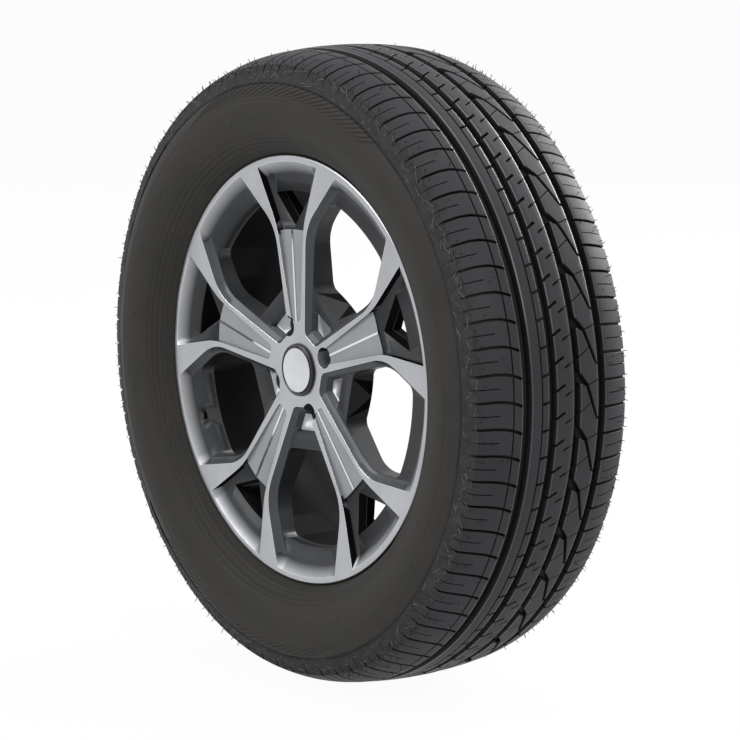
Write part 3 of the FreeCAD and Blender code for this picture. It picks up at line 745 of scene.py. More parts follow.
@dataclass
class TreadBand:
    """New tread with its ribs, grooves, sipes and rough joint faces; sizes in millimetres."""

    shape: TyreShape
    modules: int = 38
    phase: float = 3.8
    steps: int = 8
    wall_draft: float = 0.25
    sipe_draft: float = 0.12
    sipe_width: float = 1.3
    slot_step: float = 5.0
    rim_chamfer: float = 0.35
    loop_slack: float = 0.002
    # Depth of cut at which the painted shade in the grooves is full
    full_shade_depth: float = 3.2
    joint_rows: int = 6
    joint_roughness: float = 0.5
    joint_bead: float = 0.8
    joint_line: float = 1.0
    splices: tuple[float, ...] = (48.0, 133.0, 215.0, 286.0, 348.0)
    splice_step: float = 1.1
    splice_span: float = 34.0
    seed: int = 7
    seam: float = 2e-6
    join: float = 1e-4
    sharp_angle: float = 32.0
    run_outs: tuple[Point, ...] = ((-4.0, 1.0), (0.0, 0.8), (1.8, 0.0))
    joint_start: float = 0.2
    joint_rise: float = 0.45
    joint_out: float = 0.89
    buffed_slack: float = 0.01
    folds: tuple[Point, ...] = ((11.0, 1.0), (4.5, 0.6))
    bead_inset: float = 0.9
    bead_spread: float = 0.8
    bead_shares: Point = (0.6, 0.5)
    line_inset: float = 1.2
    line_spread: float = 0.7
    thread_gaps: Point = (0.008, 0.03)
    thread_starts: Point = (0.5, 6.8)
    thread_slants: Point = (-2.6, 2.6)
    thread_sweeps: Point = (0.012, 0.04)
    thread_sways: Point = (-0.4, 0.4)
    thread_radii: Point = (0.1, 0.2)
    thread_margin: float = 0.4
    thread_lift: float = 0.5
    thread_runs: int = 5
    hair_rows: tuple[tuple[float, int], ...] = (
        (0.6, 150), (5.0, 96), (13.0, 30), (25.0, 20), (31.5, 20),
    )
    hair_jitter: Point = (0.0, 0.9)
    hair_heights: Point = (1.4, 5.6)
    hair_leans: Point = (-0.006, 0.006)
    hair_slants: Point = (-0.5, 2.0)
    hair_headroom: float = 0.3
    hair_least: float = 1.0
    hair_lowest: float = -0.96
    hair_root: float = 0.4
    hair_radius: float = 0.5
    hair_runs: int = 3
    tip_loss: float = 0.5
    grooves: tuple[RingGroove, ...] = (
        RingGroove(-45.9, 10.8, 7.5, 1.2, 0.55, 1.5),
        RingGroove(-13.4, 10.0, 7.5, 1.2, 0.55, 1.5),
        RingGroove(19.3, 9.4, 7.5, 1.2, 0.55, 1.5),
        RingGroove(55.1, 10.8, 7.5, 1.2, 0.55, 1.5),
        RingGroove(-62.5, 1.5, 4.0, 0.2, 0.25, 0.3),
        RingGroove(-27.4, 1.5, 4.0, 0.2, 0.25, 0.3),
    )
    slots: tuple[Slot, ...] = (
        Slot(((-103.0, 0.0), (-97.0, 0.1), (-82.0, 0.8), (-70.0, 0.0), (-62.5, -2.0), (-55.0, -4.5),
              (-52.4, -6.4)), (3.0,), 5.0, 2, 7.0),
        Slot(((-104.0, 0.0), (-78.0, 0.4)), (1.2,), 3.5, 2, 21.5),
        Slot(((-28.0, 0.0), (-16.5, 2.8)), (2.8,), 4.2, 2, 0.2),
        Slot(((-13.0, 0.0), (2.5, 8.2)), (3.0,), 4.8, 2, 10.2),
        Slot(((2.8, 0.0), (9.7, 3.6)), (2.0,), 4.0, 2, 6.4),
        Slot(((9.7, 3.6), (15.6, 6.4)), (0.9,), 3.2, 2, 6.4),
        Slot(((20.5, 2.5), (26.0, -2.4), (33.5, -9.0), (40.0, -26.0), (47.2, -44.6), (52.5, -46.6)),
             (9.4, 8.0, 4.4, 3.6, 3.2, 2.8), 6.0, 1, 23.8),
        Slot(((33.5, -9.0), (51.5, -3.8)), (1.2,), 3.8, 1, 23.8),
        Slot(((22.5, -37.0), (40.0, -27.0)), (1.2,), 3.8, 1, 23.8),
        Slot(((54.0, 0.6), (70.0, 0.0), (95.0, -1.0), (103.0, -1.2)), (3.0,), 5.0, 2, 17.8),
        Slot(((66.0, 0.0), (104.0, -0.6)), (1.1,), 3.5, 2, 3.3),
    )
    rib_rows: tuple[float, ...] = (
        -93.0, -88.0, -83.0, -77.0, -72.0, -66.5, -57.0, -46.0, -34.0, -22.5, -13.4, -2.0, 3.0, 8.0,
        19.3, 28.0, 33.0, 38.0, 43.0, 55.1, 65.0, 70.0, 76.0, 82.0, 88.0, 93.0,
    )

    @property
    def module_length(self) -> float:
        """Length of one module round the crown."""
        return 2 * math.pi * self.shape.radius / self.modules

    def rows(self) -> list[float]:
        """Lay out the rows of points on the ribs and the joint faces.

        Returns:
            Places across where the flat module gets a row.
        """
        edge = self.shape.shoulder_half
        step = (self.shape.wing_half - edge) / self.joint_rows
        joint = [edge + step * k for k in range(1, self.joint_rows)]
        return list(self.rib_rows) + joint + [-across for across in joint]

    def run_out(self, across: float) -> float:
        """Share of a cut's depth that is left as it runs out over the shoulder."""
        edge = self.shape.shoulder_half
        return interpolate([(edge + step, share) for step, share in self.run_outs], abs(across))

    def cuts(self) -> list[Cut]:
        """Lay the slots out over one module.

        Returns:
            Outlines of each cut that touches the module.
        """
        found = []
        length = self.module_length
        for slot in self.slots:
            is_sipe = min(slot.widths) < self.sipe_width
            draft = self.sipe_draft if is_sipe else self.wall_draft
            chamfer = 0.0 if is_sipe else self.rim_chamfer
            for copy in range(slot.per_module):
                for turn in (-1, 0, 1):
                    shift = slot.start + length * (copy / slot.per_module + turn)
                    mouth = slot.loop(shift, 0.0, self.slot_step)
                    if max(p.y for p in mouth) < 0 or min(p.y for p in mouth) > length:
                        continue
                    found.append(Cut(slot.loop(shift, -chamfer, self.slot_step), mouth,
                                     slot.loop(shift, draft, self.slot_step), slot.depth, chamfer))
        return found

    def depth_at(self, spot: Vector, cuts: Sequence[Cut]) -> float:
        """Find how deep the grooves and cuts are at a point.

        Args:
            spot: point of the flat module.
            cuts: cuts that touch the module.

        Returns:
            Depth below the plain tread.
        """
        depth = 0.0
        for groove in self.grooves:
            depth = max(depth, interpolate(groove.section(), abs(spot.x - groove.middle)))
        for cut in cuts:
            if depth >= cut.depth or not self.near(cut.mouth, spot):
                continue
            if inside(cut.floor, spot, self.loop_slack):
                depth = max(depth, cut.depth * self.run_out(spot.x))
            elif inside(cut.mouth, spot, self.loop_slack):
                depth = max(depth, cut.chamfer * self.run_out(spot.x))
        return depth

    @staticmethod
    def near(loop: Sequence[Vector], spot: Vector) -> bool:
        """Tell whether a point lies in the box round an outline."""
        return (min(p.x for p in loop) - BOX_SLACK < spot.x < max(p.x for p in loop) + BOX_SLACK
                and min(p.y for p in loop) - BOX_SLACK < spot.y < max(p.y for p in loop) + BOX_SLACK)

    def flat_module(self) -> tuple[list[Vector], list[Sequence[int]]]:
        """Cut one module of the tread into triangles, laid flat.

        Returns:
            Points as (across, round) and the triangles between them.
        """
        length = self.module_length
        places = [length * i / self.steps for i in range(self.steps + 1)]
        spots: list[Vector] = []
        edges: list[tuple[int, int]] = []
        lines = [self.shape.wing_half, -self.shape.wing_half,
                 self.shape.shoulder_half, -self.shape.shoulder_half]
        for groove in self.grooves:
            lines += groove.lines()
        for across in lines:
            first = len(spots)
            spots += [Vector((across, place)) for place in places]
            edges += [(first + i, first + i + 1) for i in range(self.steps)]
        for across in self.rows():
            spots += [Vector((across, place)) for place in places]
        for place in (0.0, length):
            first = len(spots)
            spots += [Vector((-self.shape.wing_half, place)), Vector((self.shape.wing_half, place))]
            edges.append((first, first + 1))
        for cut in self.cuts():
            outlines = [cut.rim, cut.mouth, cut.floor] if cut.chamfer else [cut.mouth, cut.floor]
            for loop in outlines:
                first = len(spots)
                spots += loop
                edges += [(first + i, first + (i + 1) % len(loop)) for i in range(len(loop))]
        found = delaunay_2d_cdt(spots, edges, [], 0, self.join)
        triangles = []
        for triangle in found[2]:
            middle = sum((found[0][i] for i in triangle), Vector((0.0, 0.0))) / 3
            if 0 < middle.y < length and abs(middle.x) < self.shape.wing_half:
                triangles.append(list(triangle))
        return list(found[0]), triangles

    def module_mesh(self) -> bpy.types.Mesh:
        """Bend one module round the axle and close it with the bonded surface below.

        Returns:
            Mesh of the module, with the share of cut depth at its points, which sets the painted shade
            in the grooves.
        """
        spots, triangles = self.flat_module()
        cuts = self.cuts()
        used = sorted({i for triangle in triangles for i in triangle})
        number = {old: new for new, old in enumerate(used)}
        points = []
        shares = []
        for i in used:
            depth = self.depth_at(spots[i], cuts)
            # Painted shade: deeper points of a cut get more of the tread's dark shade colour
            shares.append(min(1.0, depth / self.full_shade_depth))
            points.append(round_point(spots[i].x, self.shape.crown(spots[i].x) - depth,
                                      (spots[i].y + self.phase) / self.shape.radius))
        faces: list[Sequence[int]] = [[number[i] for i in triangle] for triangle in triangles]
        first = len(points)
        width = self.steps + 1
        wing = self.shape.wing_half
        buffed = [wing] + self.shape.buffed_places() + [-wing]
        for across in buffed:
            for i in range(width):
                angle = (self.module_length * i / self.steps + self.phase) / self.shape.radius
                points.append(round_point(across, self.shape.buffed(across), angle))
                shares.append(0.0)
        for row in range(len(buffed) - 1):
            for i in range(self.steps):
                corner = first + row * width + i
                faces.append((corner, corner + width, corner + width + 1, corner + 1))
        mesh = bpy.data.meshes.new("tread_module")
        mesh.from_pydata(points, [], faces)
        mesh.attributes.new(PAINTED_SHADE_SHARE, "FLOAT", "POINT").data.foreach_set("value", shares)
        return mesh

    def roughen(self, mesh: bpy.types.Mesh) -> None:
        """Crumple the joint faces between a fine line and a raised edge, and press the flat spot.

        Args:
            mesh: the whole tread.
        """
        ground = (self.shape.flat_spot - self.shape.radius) * MM
        edge, wing = self.shape.shoulder_half, self.shape.wing_half
        for vertex in mesh.vertices:
            across = abs(vertex.co.y) / MM
            flat = math.hypot(vertex.co.x, vertex.co.z) / MM
            outer = flat > self.shape.buffed(across) - self.buffed_slack
            if outer and across > edge + self.joint_start:
                wander = sum(share * noise.noise(vertex.co / (size * MM)) for size, share in self.folds)
                bead = bell(across - wing + self.bead_inset, self.bead_spread)
                line = bell(across - edge - self.line_inset, self.line_spread)
                turn = math.degrees(math.atan2(vertex.co.z, vertex.co.x))
                lift = self.joint_roughness * wander - self.joint_line * line + self.splice_lift(turn)
                lift += self.joint_bead * bead * (self.bead_shares[0] + wander * self.bead_shares[1])
                outward = Vector((vertex.co.x, 0, vertex.co.z)).normalized() * self.joint_rise
                outward.y = math.copysign(self.joint_out, vertex.co.y)
                vertex.co += outward * lift * MM
            vertex.co.z = max(vertex.co.z, ground)

    def splice_lift(self, turn: float) -> float:
        """How far the gum stands up behind the last splice, at an angle in degrees."""
        behind = min((turn - splice) % 360 for splice in self.splices)
        return self.splice_step * max(0.0, 1 - behind / self.splice_span)

    def on_rim(self, middle: Vector) -> bool:
        """Tell whether a face is the broken edge of a rib beside a wide groove.

        Args:
            middle: centre of the face in metres.

        Returns:
            True for such a face.
        """
        across = middle.y / MM
        depth = self.shape.crown(across) - math.hypot(middle.x, middle.z) / MM
        for groove in self.grooves:
            away = abs(across - groove.middle) - groove.width / 2
            if groove.bevel_depth > self.rim_chamfer and 0 < away < groove.bevel_width:
                return depth < groove.bevel_depth
        return False

    def strands(self) -> list[Strand]:
        """Draw pale threads that lie slantwise over the joint faces, nearly along the shoulder.

        Returns:
            Points and radius of each thread.
        """
        draw = random.Random(self.seed)
        made = []
        edge, wing = self.shape.shoulder_half, self.shape.wing_half
        for side in (-1, 1):
            angle = 0.0
            while angle < 2 * math.pi:
                angle += draw.uniform(*self.thread_gaps)
                start = edge + draw.uniform(*self.thread_starts)
                end = start + draw.uniform(*self.thread_slants)
                end = min(max(end, edge + self.thread_margin), wing - self.thread_margin)
                sweep = draw.uniform(*self.thread_sweeps)
                sway = draw.uniform(*self.thread_sways)
                thickness = draw.uniform(*self.thread_radii)
                path = []
                for k in range(self.thread_runs + 1):
                    share = k / self.thread_runs
                    bow = math.sin(math.pi * share)
                    across = start + (end - start) * share + sway * bow
                    lift = self.thread_lift * (1 + bow)
                    path.append(round_point(side * (across + self.joint_out * lift),
                                            self.shape.crown(across) + self.joint_rise * lift,
                                            angle + sweep * share))
                made.append((path, lambda share, t=thickness: t * MM * (1 - self.tip_loss * share)))
        return made

    def hairs(self) -> list[Strand]:
        """Draw short vent hairs that stand along the shoulders and on the ribs beside them.

        Returns:
            Points and radius of each hair.
        """
        draw = random.Random(self.seed + 1)
        made = []
        edge = self.shape.shoulder_half
        runs, root, thick = self.hair_runs, self.hair_root, self.hair_radius * MM
        for inset, count in self.hair_rows:
            across = edge - inset
            base = self.shape.crown(across)
            highest = self.shape.radius - base - self.hair_headroom
            for side in (-1, 1):
                for i in range(count):
                    angle = 2 * math.pi * (i + draw.uniform(*self.hair_jitter)) / count
                    tall = min(draw.uniform(*self.hair_heights), highest)
                    lean = draw.uniform(*self.hair_leans)
                    slant = draw.uniform(*self.hair_slants)
                    if math.sin(angle) < self.hair_lowest or tall < self.hair_least:
                        continue
                    path = [round_point(side * (across + slant * (k / runs) ** 2),
                                        base - root + (tall + root) * k / runs,
                                        angle + lean * (k / runs) ** 2) for k in range(runs + 1)]
                    made.append((path, lambda share: thick * (1 - self.tip_loss * share)))
        return made

    def build(self, trees: Trees) -> None:
        """Make the tread, its joint threads and its vent hairs.

        Args:
            trees: node trees that repeat the module and sweep the strands.
        """
        tread = trees.run(self.module_mesh(), trees.spin, {
            "Count": self.modules, "Step": -2 * math.pi / self.modules, "Seam": self.seam,
            "Material": TREAD_RUBBER.build(),
        })
        self.roughen(tread)
        plain = tread.polygons[0].material_index
        joint = len(tread.materials)
        for finish in (JOINT_RUBBER, RIM_RUBBER):
            tread.materials.append(finish.build())
        for face in tread.polygons:
            if abs(face.center.y) > self.shape.shoulder_half * MM:
                face.material_index = joint
            else:
                face.material_index = joint + 1 if self.on_rim(face.center) else plain
        smooth(tread, self.sharp_angle)
        add_piece("tread", tread, "tread_rubber", "tread_band")
        trees.grow("joint_threads", self.strands(), 4, JOINT_THREAD, "tread_rubber")
        trees.grow("vent_hairs", self.hairs(), 5, VENT_RUBBER, "tread_rubber")


@dataclass
class TyreCasing:
    """Used casing with its moulded rings and hatched fans; sizes in millimetres."""

    shape: TyreShape
    segments: int = 304
    wall_rows: int = 44
    rings: tuple[Point, ...] = (
        (243.6, 0.8), (247.4, 0.8), (251.6, 0.9), (256.4, 0.9), (261.5, 0.5), (296.0, -0.5),
    )
    ring_width: float = 1.5
    seam_drop: float = 1.8
    seam_depth: float = 1.4
    fans: tuple[tuple[float, float], ...] = ((62.0, 125.0), (229.0, 292.0))
    fan_inner: float = 300.5
    fan_outer: float = 315.5
    fan_lean: tuple[float, float] = (64.0, 80.0)
    stroke_pitch: float = 3.9
    stroke_radius: float = 0.75
    stub_ring: float = 277.0
    stub_count: int = 24
    stub_lean: float = 62.0
    stub_radius: float = 0.8
    stub_sink: float = 0.38
    stub_jitter: Point = (0.2, 0.8)
    stub_lengths: Point = (5.0, 11.0)
    stub_scatter: Point = (-3.0, 4.0)
    stub_taper: float = 0.4
    stroke_taper: Point = (0.3, 0.7)
    line_runs: int = 7
    line_bend: float = 0.2
    sharp_angle: float = 40.0
    seed: int = 11
    inner: tuple[Point, ...] = field(default_factory=lambda: (
        (86.0, 311.0), (98.0, 302.0), (106.0, 290.0), (103.0, 277.0), (92.0, 263.0), (70.2, 253.0),
        (59.0, 218.5), (71.0, 218.5), (74.5, 220.0), (76.0, 223.5), (76.0, 229.8), (78.0, 234.2),
        (82.2, 236.0),
    ))
    inner_crown: tuple[Point, ...] = ((-57.0, 323.0), (0.0, 329.0), (57.0, 323.0))

    def wall_height(self, radius: float) -> float:
        """Height of the moulded rings, and of the line below the joint, at a radius."""
        seam = (self.shape.wing_radius - self.seam_drop, -self.seam_depth)
        return sum(height * max(0.0, 1 - abs(radius - ring) / self.ring_width)
                   for ring, height in self.rings + (seam,))

    def section(self) -> list[Point]:
        """Draw the closed section of the casing.

        Returns:
            Points as (across, radius): far side, buffed crown, near side and the crown's inside.
        """
        low, high = self.shape.foot_radius, self.shape.wing_radius
        radii = {low + (high - low) * i / self.wall_rows for i in range(self.wall_rows + 1)}
        for ring in [ring for ring, _ in self.rings] + [high - self.seam_drop]:
            radii |= {ring - self.ring_width, ring, ring + self.ring_width}
        wall = [(self.shape.sidewall(r) + self.wall_height(r), r)
                for r in sorted(radii) if low <= r <= high]
        far = list(self.inner) + wall
        buffed = [(across, self.shape.buffed(across)) for across in self.shape.buffed_places()]
        near = [(-y, r) for y, r in reversed(far)]
        return far + buffed + near + list(self.inner_crown)

    def build_wall(self) -> bpy.types.Mesh:
        """Turn the section round the axle.

        Returns:
            Closed mesh of the casing.
        """
        section = self.section()
        count = len(section)
        points = []
        for i in range(self.segments):
            angle = 2 * math.pi * i / self.segments
            points += [round_point(across, radius, angle) for across, radius in section]
        faces = []
        for i in range(self.segments):
            here = i * count
            there = (i + 1) % self.segments * count
            for k in range(count):
                after = (k + 1) % count
                faces.append((here + k, there + k, there + after, here + after))
        mesh = bpy.data.meshes.new("casing")
        mesh.from_pydata(points, [], faces)
        shell = bmesh.new()
        shell.from_mesh(mesh)
        bmesh.ops.recalc_face_normals(shell, faces=shell.faces)
        shell.to_mesh(mesh)
        shell.free()
        mesh.materials.append(SIDEWALL_RUBBER.build())
        smooth(mesh, self.sharp_angle)
        return mesh

    def on_wall(self, side: int, radius: float, angle: float, lift: float) -> Vector:
        """Point on the sidewall, lifted off it along the axle."""
        return round_point(side * (self.shape.sidewall(radius) + lift), radius, angle)

    def slanted(self, side: int, start: float, angle: float, reach: float, lean: float,
                sink: float = 0.0) -> Path:
        """Points of a line on the sidewall that leans away from the radius.

        Args:
            side: -1 on the street side, 1 on the car's side.
            start: radius where the line starts.
            angle: angle where the line starts.
            reach: how far the line climbs.
            lean: angle between the line and the radius.
            sink: how deep the line lies in the wall.

        Returns:
            Points on the wall in metres.
        """
        path = []
        for k in range(self.line_runs + 1):
            rise = reach * k / self.line_runs
            slide = math.tan(lean) * (rise - self.line_bend * rise ** 2 / reach)
            path.append(self.on_wall(side, start + rise, angle - slide / start, -sink))
        return path

    def fan_strokes(self) -> list[Strand]:
        """Draw the hatched fans' fine curved strokes, leaning more from one end to the other.

        Returns:
            Points and radius of each stroke.
        """
        made = []
        upright, flattest = self.fan_lean
        thin, swell = self.stroke_taper
        for side in (-1, 1):
            for first, last in self.fans:
                angle = math.radians(first)
                while angle < math.radians(last):
                    share = (angle - math.radians(first)) / math.radians(last - first)
                    lean = math.radians(upright + share * (flattest - upright))
                    path = self.slanted(side, self.fan_inner, angle,
                                        self.fan_outer - self.fan_inner, lean)
                    made.append((path, lambda s: self.stroke_radius * MM * (
                        thin + swell * math.sin(math.pi * s))))
                    angle += self.stroke_pitch / math.cos(lean) / self.fan_inner
        return made

    def stubs(self) -> list[Strand]:
        """Draw trimmed vent hairs pressed flat on both sidewalls.

        Returns:
            Points and radius of each stub.
        """
        draw = random.Random(self.seed)
        lean = math.radians(self.stub_lean)
        made = []
        for side in (-1, 1):
            for i in range(self.stub_count):
                angle = 2 * math.pi * (i + draw.uniform(*self.stub_jitter)) / self.stub_count
                length = draw.uniform(*self.stub_lengths)
                start = self.stub_ring + draw.uniform(*self.stub_scatter)
                path = self.slanted(side, start, angle, length * math.cos(lean), lean, self.stub_sink)
                made.append((path, lambda s: self.stub_radius * MM * (1 - self.stub_taper * s)))
        return made

    def build(self, trees: Trees) -> None:
        """Make the casing wall and what stands on it.

        Args:
            trees: node trees, of which one sweeps the strands.
        """
        add_piece("casing", self.build_wall(), "casing_rubber", "tyre_casing")
        trees.grow("hatched_fans", self.fan_strokes(), 6, FAN_RUBBER, "casing_rubber")
        trees.grow("vent_stubs", self.stubs(), 5, VENT_RUBBER, "casing_rubber")


class Zone(Enum):
    """Parts of the wheel that differ in finish, in the order of the material slots."""

    BARREL = 0
    FACE = 1
    EDGE = 2
    CHANNEL = 3
    PAD = 4
    SIDE = 5
    LEDGE = 6
    LIP = 7


ZONE_FINISH = {
    Zone.BARREL: BARREL_PAINT,
    Zone.FACE: CUT_ALLOY,
    Zone.EDGE: CUT_EDGE,
    Zone.CHANNEL: CHANNEL_PAINT,
    Zone.PAD: PAD_PAINT,
    Zone.SIDE: SIDE_PAINT,
    Zone.LEDGE: LEDGE_PAINT,
    Zone.LIP: LIP_PAINT,
}


@dataclass
class AlloyWheel:
    """Cast wheel: the frame's solid with cut, painted and bright surfaces; sizes in millimetres."""

    spokes: int = 5
    first_spoke: float = 94.4
    lip_inner: float = 228.5
    lip_bevel: float = 13.0
    lip_face: float = -86.0
    hub_face: float = -82.5
    hub_radius: float = 28.7
    pad_floor: float = -71.0
    spoke_back: float = -57.5
    crest: float = -82.2
    fork_radius: float = 154.0
    channel: tuple[Point, ...] = ((53.5, 8.4), (157.8, 24.4), (221.8, 54.8))
    edge_width: float = 1.0
    merge: float = 2e-6
    flat_facing: float = 0.9
    side_facing: float = 0.4
    back_facing: float = -0.2
    bevel_facing: Point = (0.2, 0.95)
    well_radius: float = 215.0
    channel_end: float = 150.0
    channel_slack: float = 0.6
    face_slack: float = 0.6
    floor_slack: float = 0.5
    ring_slack: float = 0.3
    crest_slack: float = 0.2
    flat_angle: float = 0.5
    cut_angle: float = 25.0
    sharp_angle: float = 30.0

    def zone(self, middle: Vector, normal: Vector) -> Zone:
        """Find the finish of a face from its place and direction.

        Args:
            middle: centre of the face in metres.
            normal: direction of the face.

        Returns:
            The zone that the face belongs to.
        """
        across = middle.y / MM
        radius = math.hypot(middle.x, middle.z) / MM
        facing = -normal.y
        turn = math.radians(360 / self.spokes)
        angle = math.atan2(middle.z, middle.x) - math.radians(self.first_spoke)
        angle -= turn * round(angle / turn)
        along = radius * math.cos(angle)
        half = interpolate(self.channel, along) + self.channel_slack
        in_channel = abs(radius * math.sin(angle)) < half
        face = self.hub_face + (self.lip_face - self.hub_face) * (
            (radius - self.hub_radius) / (self.lip_inner - self.hub_radius))
        flat = facing > self.flat_facing
        slanting = self.bevel_facing[0] < facing < self.bevel_facing[1]
        if across > self.spoke_back or (facing < self.back_facing and radius < self.well_radius):
            return Zone.BARREL
        if radius > self.lip_inner - self.ring_slack:
            return Zone.FACE
        if flat and abs(across - face) < self.face_slack:
            return Zone.FACE
        if slanting and radius > self.lip_inner - self.lip_bevel - self.floor_slack:
            return Zone.LIP
        if in_channel and along > self.fork_radius:
            return Zone.LEDGE if flat else Zone.BARREL
        if flat and in_channel:
            return Zone.EDGE if across < self.crest + self.crest_slack else Zone.CHANNEL
        if flat and abs(across - self.pad_floor) < self.floor_slack:
            return Zone.PAD
        if flat:
            return Zone.LEDGE
        if in_channel and radius < self.channel_end:
            return Zone.CHANNEL
        return Zone.SIDE if facing > self.side_facing else Zone.LEDGE

    def build(self, frame: dict[str, Any]) -> None:
        """Copy the frame's wheel, sort its faces into finishes and break its cut edges.

        Args:
            frame: the loaded frame.
        """
        mesh = frame["nodes"]["alloy_wheel"].data.copy()
        mesh.materials.clear()
        for zone in Zone:
            mesh.materials.append(ZONE_FINISH[zone].build())
        cast = bmesh.new()
        cast.from_mesh(mesh)
        bmesh.ops.remove_doubles(cast, verts=cast.verts, dist=self.merge)
        cast.normal_update()
        for face in cast.faces:
            face.material_index = self.zone(face.calc_center_median(), face.normal).value
        bmesh.ops.dissolve_limit(cast, angle_limit=math.radians(self.flat_angle), verts=cast.verts,
                                 edges=cast.edges, delimit={"MATERIAL"})
        rims = [edge for edge in cast.edges if self.is_cut_edge(edge)]
        bmesh.ops.bevel(cast, geom=rims, offset=self.edge_width * MM, segments=2, profile=0.5,
                        affect="EDGES", clamp_overlap=True, material=Zone.EDGE.value)
        bmesh.ops.triangulate(cast, faces=cast.faces)
        cast.to_mesh(mesh)
        cast.free()
        smooth(mesh, self.sharp_angle)
        for face in mesh.polygons:
            face.use_smooth = face.material_index != Zone.CHANNEL.value
        # Painted shade: the lip's bevel darkens towards the barrel
        self.shade_lip(mesh)
        add_piece("wheel", mesh, "cast_alloy", "alloy_wheel")

    def shade_lip(self, mesh: bpy.types.Mesh) -> None:
        """Note how far each point lies down the lip's bevel, for the painted shade that darkens it
        inwards.

        Args:
            mesh: mesh of the wheel.
        """
        shares = []
        for vertex in mesh.vertices:
            radius = math.hypot(vertex.co.x, vertex.co.z) / MM
            shares.append(min(1.0, max(0.0, (self.lip_inner - radius) / self.lip_bevel)))
        mesh.attributes.new(PAINTED_SHADE_SHARE, "FLOAT", "POINT").data.foreach_set("value", shares)

    def is_cut_edge(self, edge: bmesh.types.BMEdge) -> bool:
        """Tell whether an edge is a sharp border of the cut face.

        Args:
            edge: edge of the wheel.

        Returns:
            True for an edge to be broken.
        """
        if len(edge.link_faces) != 2 or edge.calc_face_angle(0.0) < math.radians(self.cut_angle):
            return False
        indices = {face.material_index for face in edge.link_faces}
        return Zone.FACE.value in indices and len(indices) == 2


@dataclass
class SmallPieces:
    """Centre cap and valve: the frame's own solids with real finishes."""

    finishes: dict[str, Finish] = field(default_factory=lambda: {
        "cap_body": BLACK_PLASTIC,
        "cap_disc": CHROME,
        "cap_spring_ring": SPRING_STEEL,
        "valve_stem": VALVE_RUBBER,
        "valve_tube": BRASS,
        "valve_core": BRASS,
        "valve_cap": BLACK_PLASTIC,
    })

    def build(self, frame: dict[str, Any]) -> None:
        """Dress the frame's solids.

        Args:
            frame: the loaded frame.
        """
        for name, finish in self.finishes.items():
            mesh = frame["nodes"][name].data
            mesh.materials.clear()
            mesh.materials.append(finish.build())
            LOG.info("%s: %s", name, finish.name)


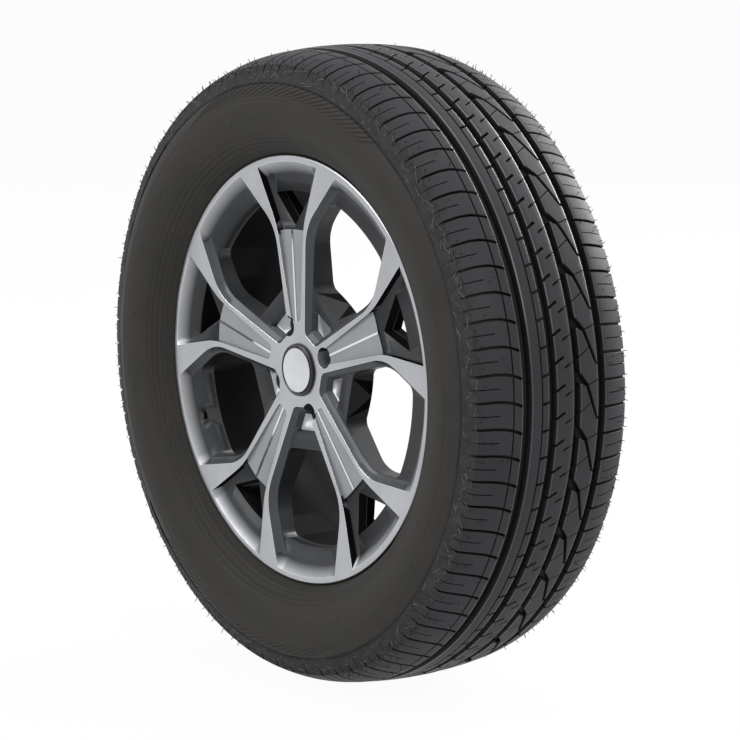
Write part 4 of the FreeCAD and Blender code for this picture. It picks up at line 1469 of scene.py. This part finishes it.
@dataclass
class Studio:
    """Pale floor, soft light and the camera of the photograph."""

    azimuth: float = 52.9
    elevation: float = 9.33
    distance: float = 4.212
    lens: float = 185.45
    shift: Point = (0.0152, -0.0101)
    floor_size: float = 44.0
    floor_glow: float = 0.96
    floor_colour: str = "#f4f4f4"
    fill: float = 0.3
    # Name, place, size in metres and watts of each soft light
    lights: tuple[tuple[str, tuple[float, float, float], float, float], ...] = (
        ("key", (-1.6, -3.2, 2.6), 2.4, 80.0),
        ("tread", (3.4, -0.6, 2.2), 2.0, 60.0),
        ("top", (0.6, 0.6, 3.4), 2.2, 45.0),
        ("edge", (-0.3, 3.6, 1.6), 2.0, 170.0),
    )

    def build(self, floor_height: float) -> None:
        """Set up the floor, the lights, the world and the camera.

        Args:
            floor_height: height of the lowest point of the tyre.
        """
        self.build_floor(floor_height)
        self.build_world()
        for light in self.lights:
            self.add_light(*light)
        self.build_camera()

    def build_floor(self, height: float) -> None:
        """Lay a white floor that keeps a soft shadow.

        Args:
            height: height of the floor.
        """
        half = self.floor_size / 2
        mesh = bpy.data.meshes.new("floor")
        corners = [(x * half, y * half, height) for x, y in ((-1, -1), (1, -1), (1, 1), (-1, 1))]
        mesh.from_pydata(corners, [], [(0, 1, 2, 3)])
        floor = bpy.data.objects.new("floor", mesh)
        bpy.context.scene.collection.objects.link(floor)
        material = bpy.data.materials.new("white_paper")
        material.use_nodes = True
        tree = material.node_tree
        tree.nodes.clear()
        matt = add_node(tree, "ShaderNodeBsdfDiffuse", {"Color": linear(self.floor_colour)})
        glow = add_node(tree, "ShaderNodeEmission", {"Strength": 1.0})
        share = add_node(tree, "ShaderNodeMath", {0: seen_rays(tree), 1: self.floor_glow},
                         operation="MULTIPLY")
        mixed = add_node(tree, "ShaderNodeMixShader", {
            0: share.outputs[0], 1: matt.outputs[0], 2: glow.outputs[0],
        })
        add_node(tree, "ShaderNodeOutputMaterial", {"Surface": mixed.outputs[0]})
        mesh.materials.append(material)
        floor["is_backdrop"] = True

    def build_world(self) -> None:
        """Make a white backdrop whose light on the object is a soft fill."""
        world = bpy.data.worlds.new("studio")
        world.use_nodes = True
        tree = world.node_tree
        tree.nodes.clear()
        level = add_node(tree, "ShaderNodeMapRange", {"Value": seen_rays(tree), "To Min": self.fill})
        back = add_node(tree, "ShaderNodeBackground", {
            "Color": (1.0, 1.0, 1.0, 1.0), "Strength": level.outputs["Result"],
        })
        add_node(tree, "ShaderNodeOutputWorld", {"Surface": back.outputs[0]})
        bpy.context.scene.world = world

    @staticmethod
    def add_light(name: str, place: tuple[float, float, float], size: float, watts: float) -> None:
        """Hang a square soft light that points at the wheel.

        Args:
            name: name of the light.
            place: where it hangs, in metres.
            size: length of its side in metres.
            watts: its power.
        """
        data = bpy.data.lights.new(name, "AREA")
        data.shape = "SQUARE"
        data.size = size
        data.energy = watts
        lamp = bpy.data.objects.new(name, data)
        lamp.location = place
        lamp.rotation_euler = (-Vector(place)).to_track_quat("-Z", "Y").to_euler()
        bpy.context.scene.collection.objects.link(lamp)

    def build_camera(self) -> None:
        """Set the camera at the photograph's angle."""
        data = bpy.data.cameras.new("camera")
        data.lens = self.lens
        data.shift_x, data.shift_y = self.shift
        camera = bpy.data.objects.new("camera", data)
        turn, rise = math.radians(self.azimuth), math.radians(self.elevation)
        level = math.cos(rise)
        away = Vector((math.sin(turn) * level, -math.cos(turn) * level, math.sin(rise)))
        camera.location = away * self.distance
        camera.rotation_euler = (-away).to_track_quat("-Z", "Y").to_euler()
        bpy.context.scene.collection.objects.link(camera)
        bpy.context.scene.camera = camera


def main() -> None:
    """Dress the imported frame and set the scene."""
    logging.basicConfig(level=logging.INFO, format="%(name)s %(message)s")
    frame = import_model()
    solid_box = [list(corner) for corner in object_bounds()]
    bpy.context.scene.view_settings.view_transform = "Standard"
    trees = Trees()
    shape = TyreShape()
    TreadBand(shape).build(trees)
    TyreCasing(shape).build(trees)
    AlloyWheel().build(frame)
    SmallPieces().build(frame)
    Studio().build(solid_box[0][2])


if __name__ == "__main__":
    main()
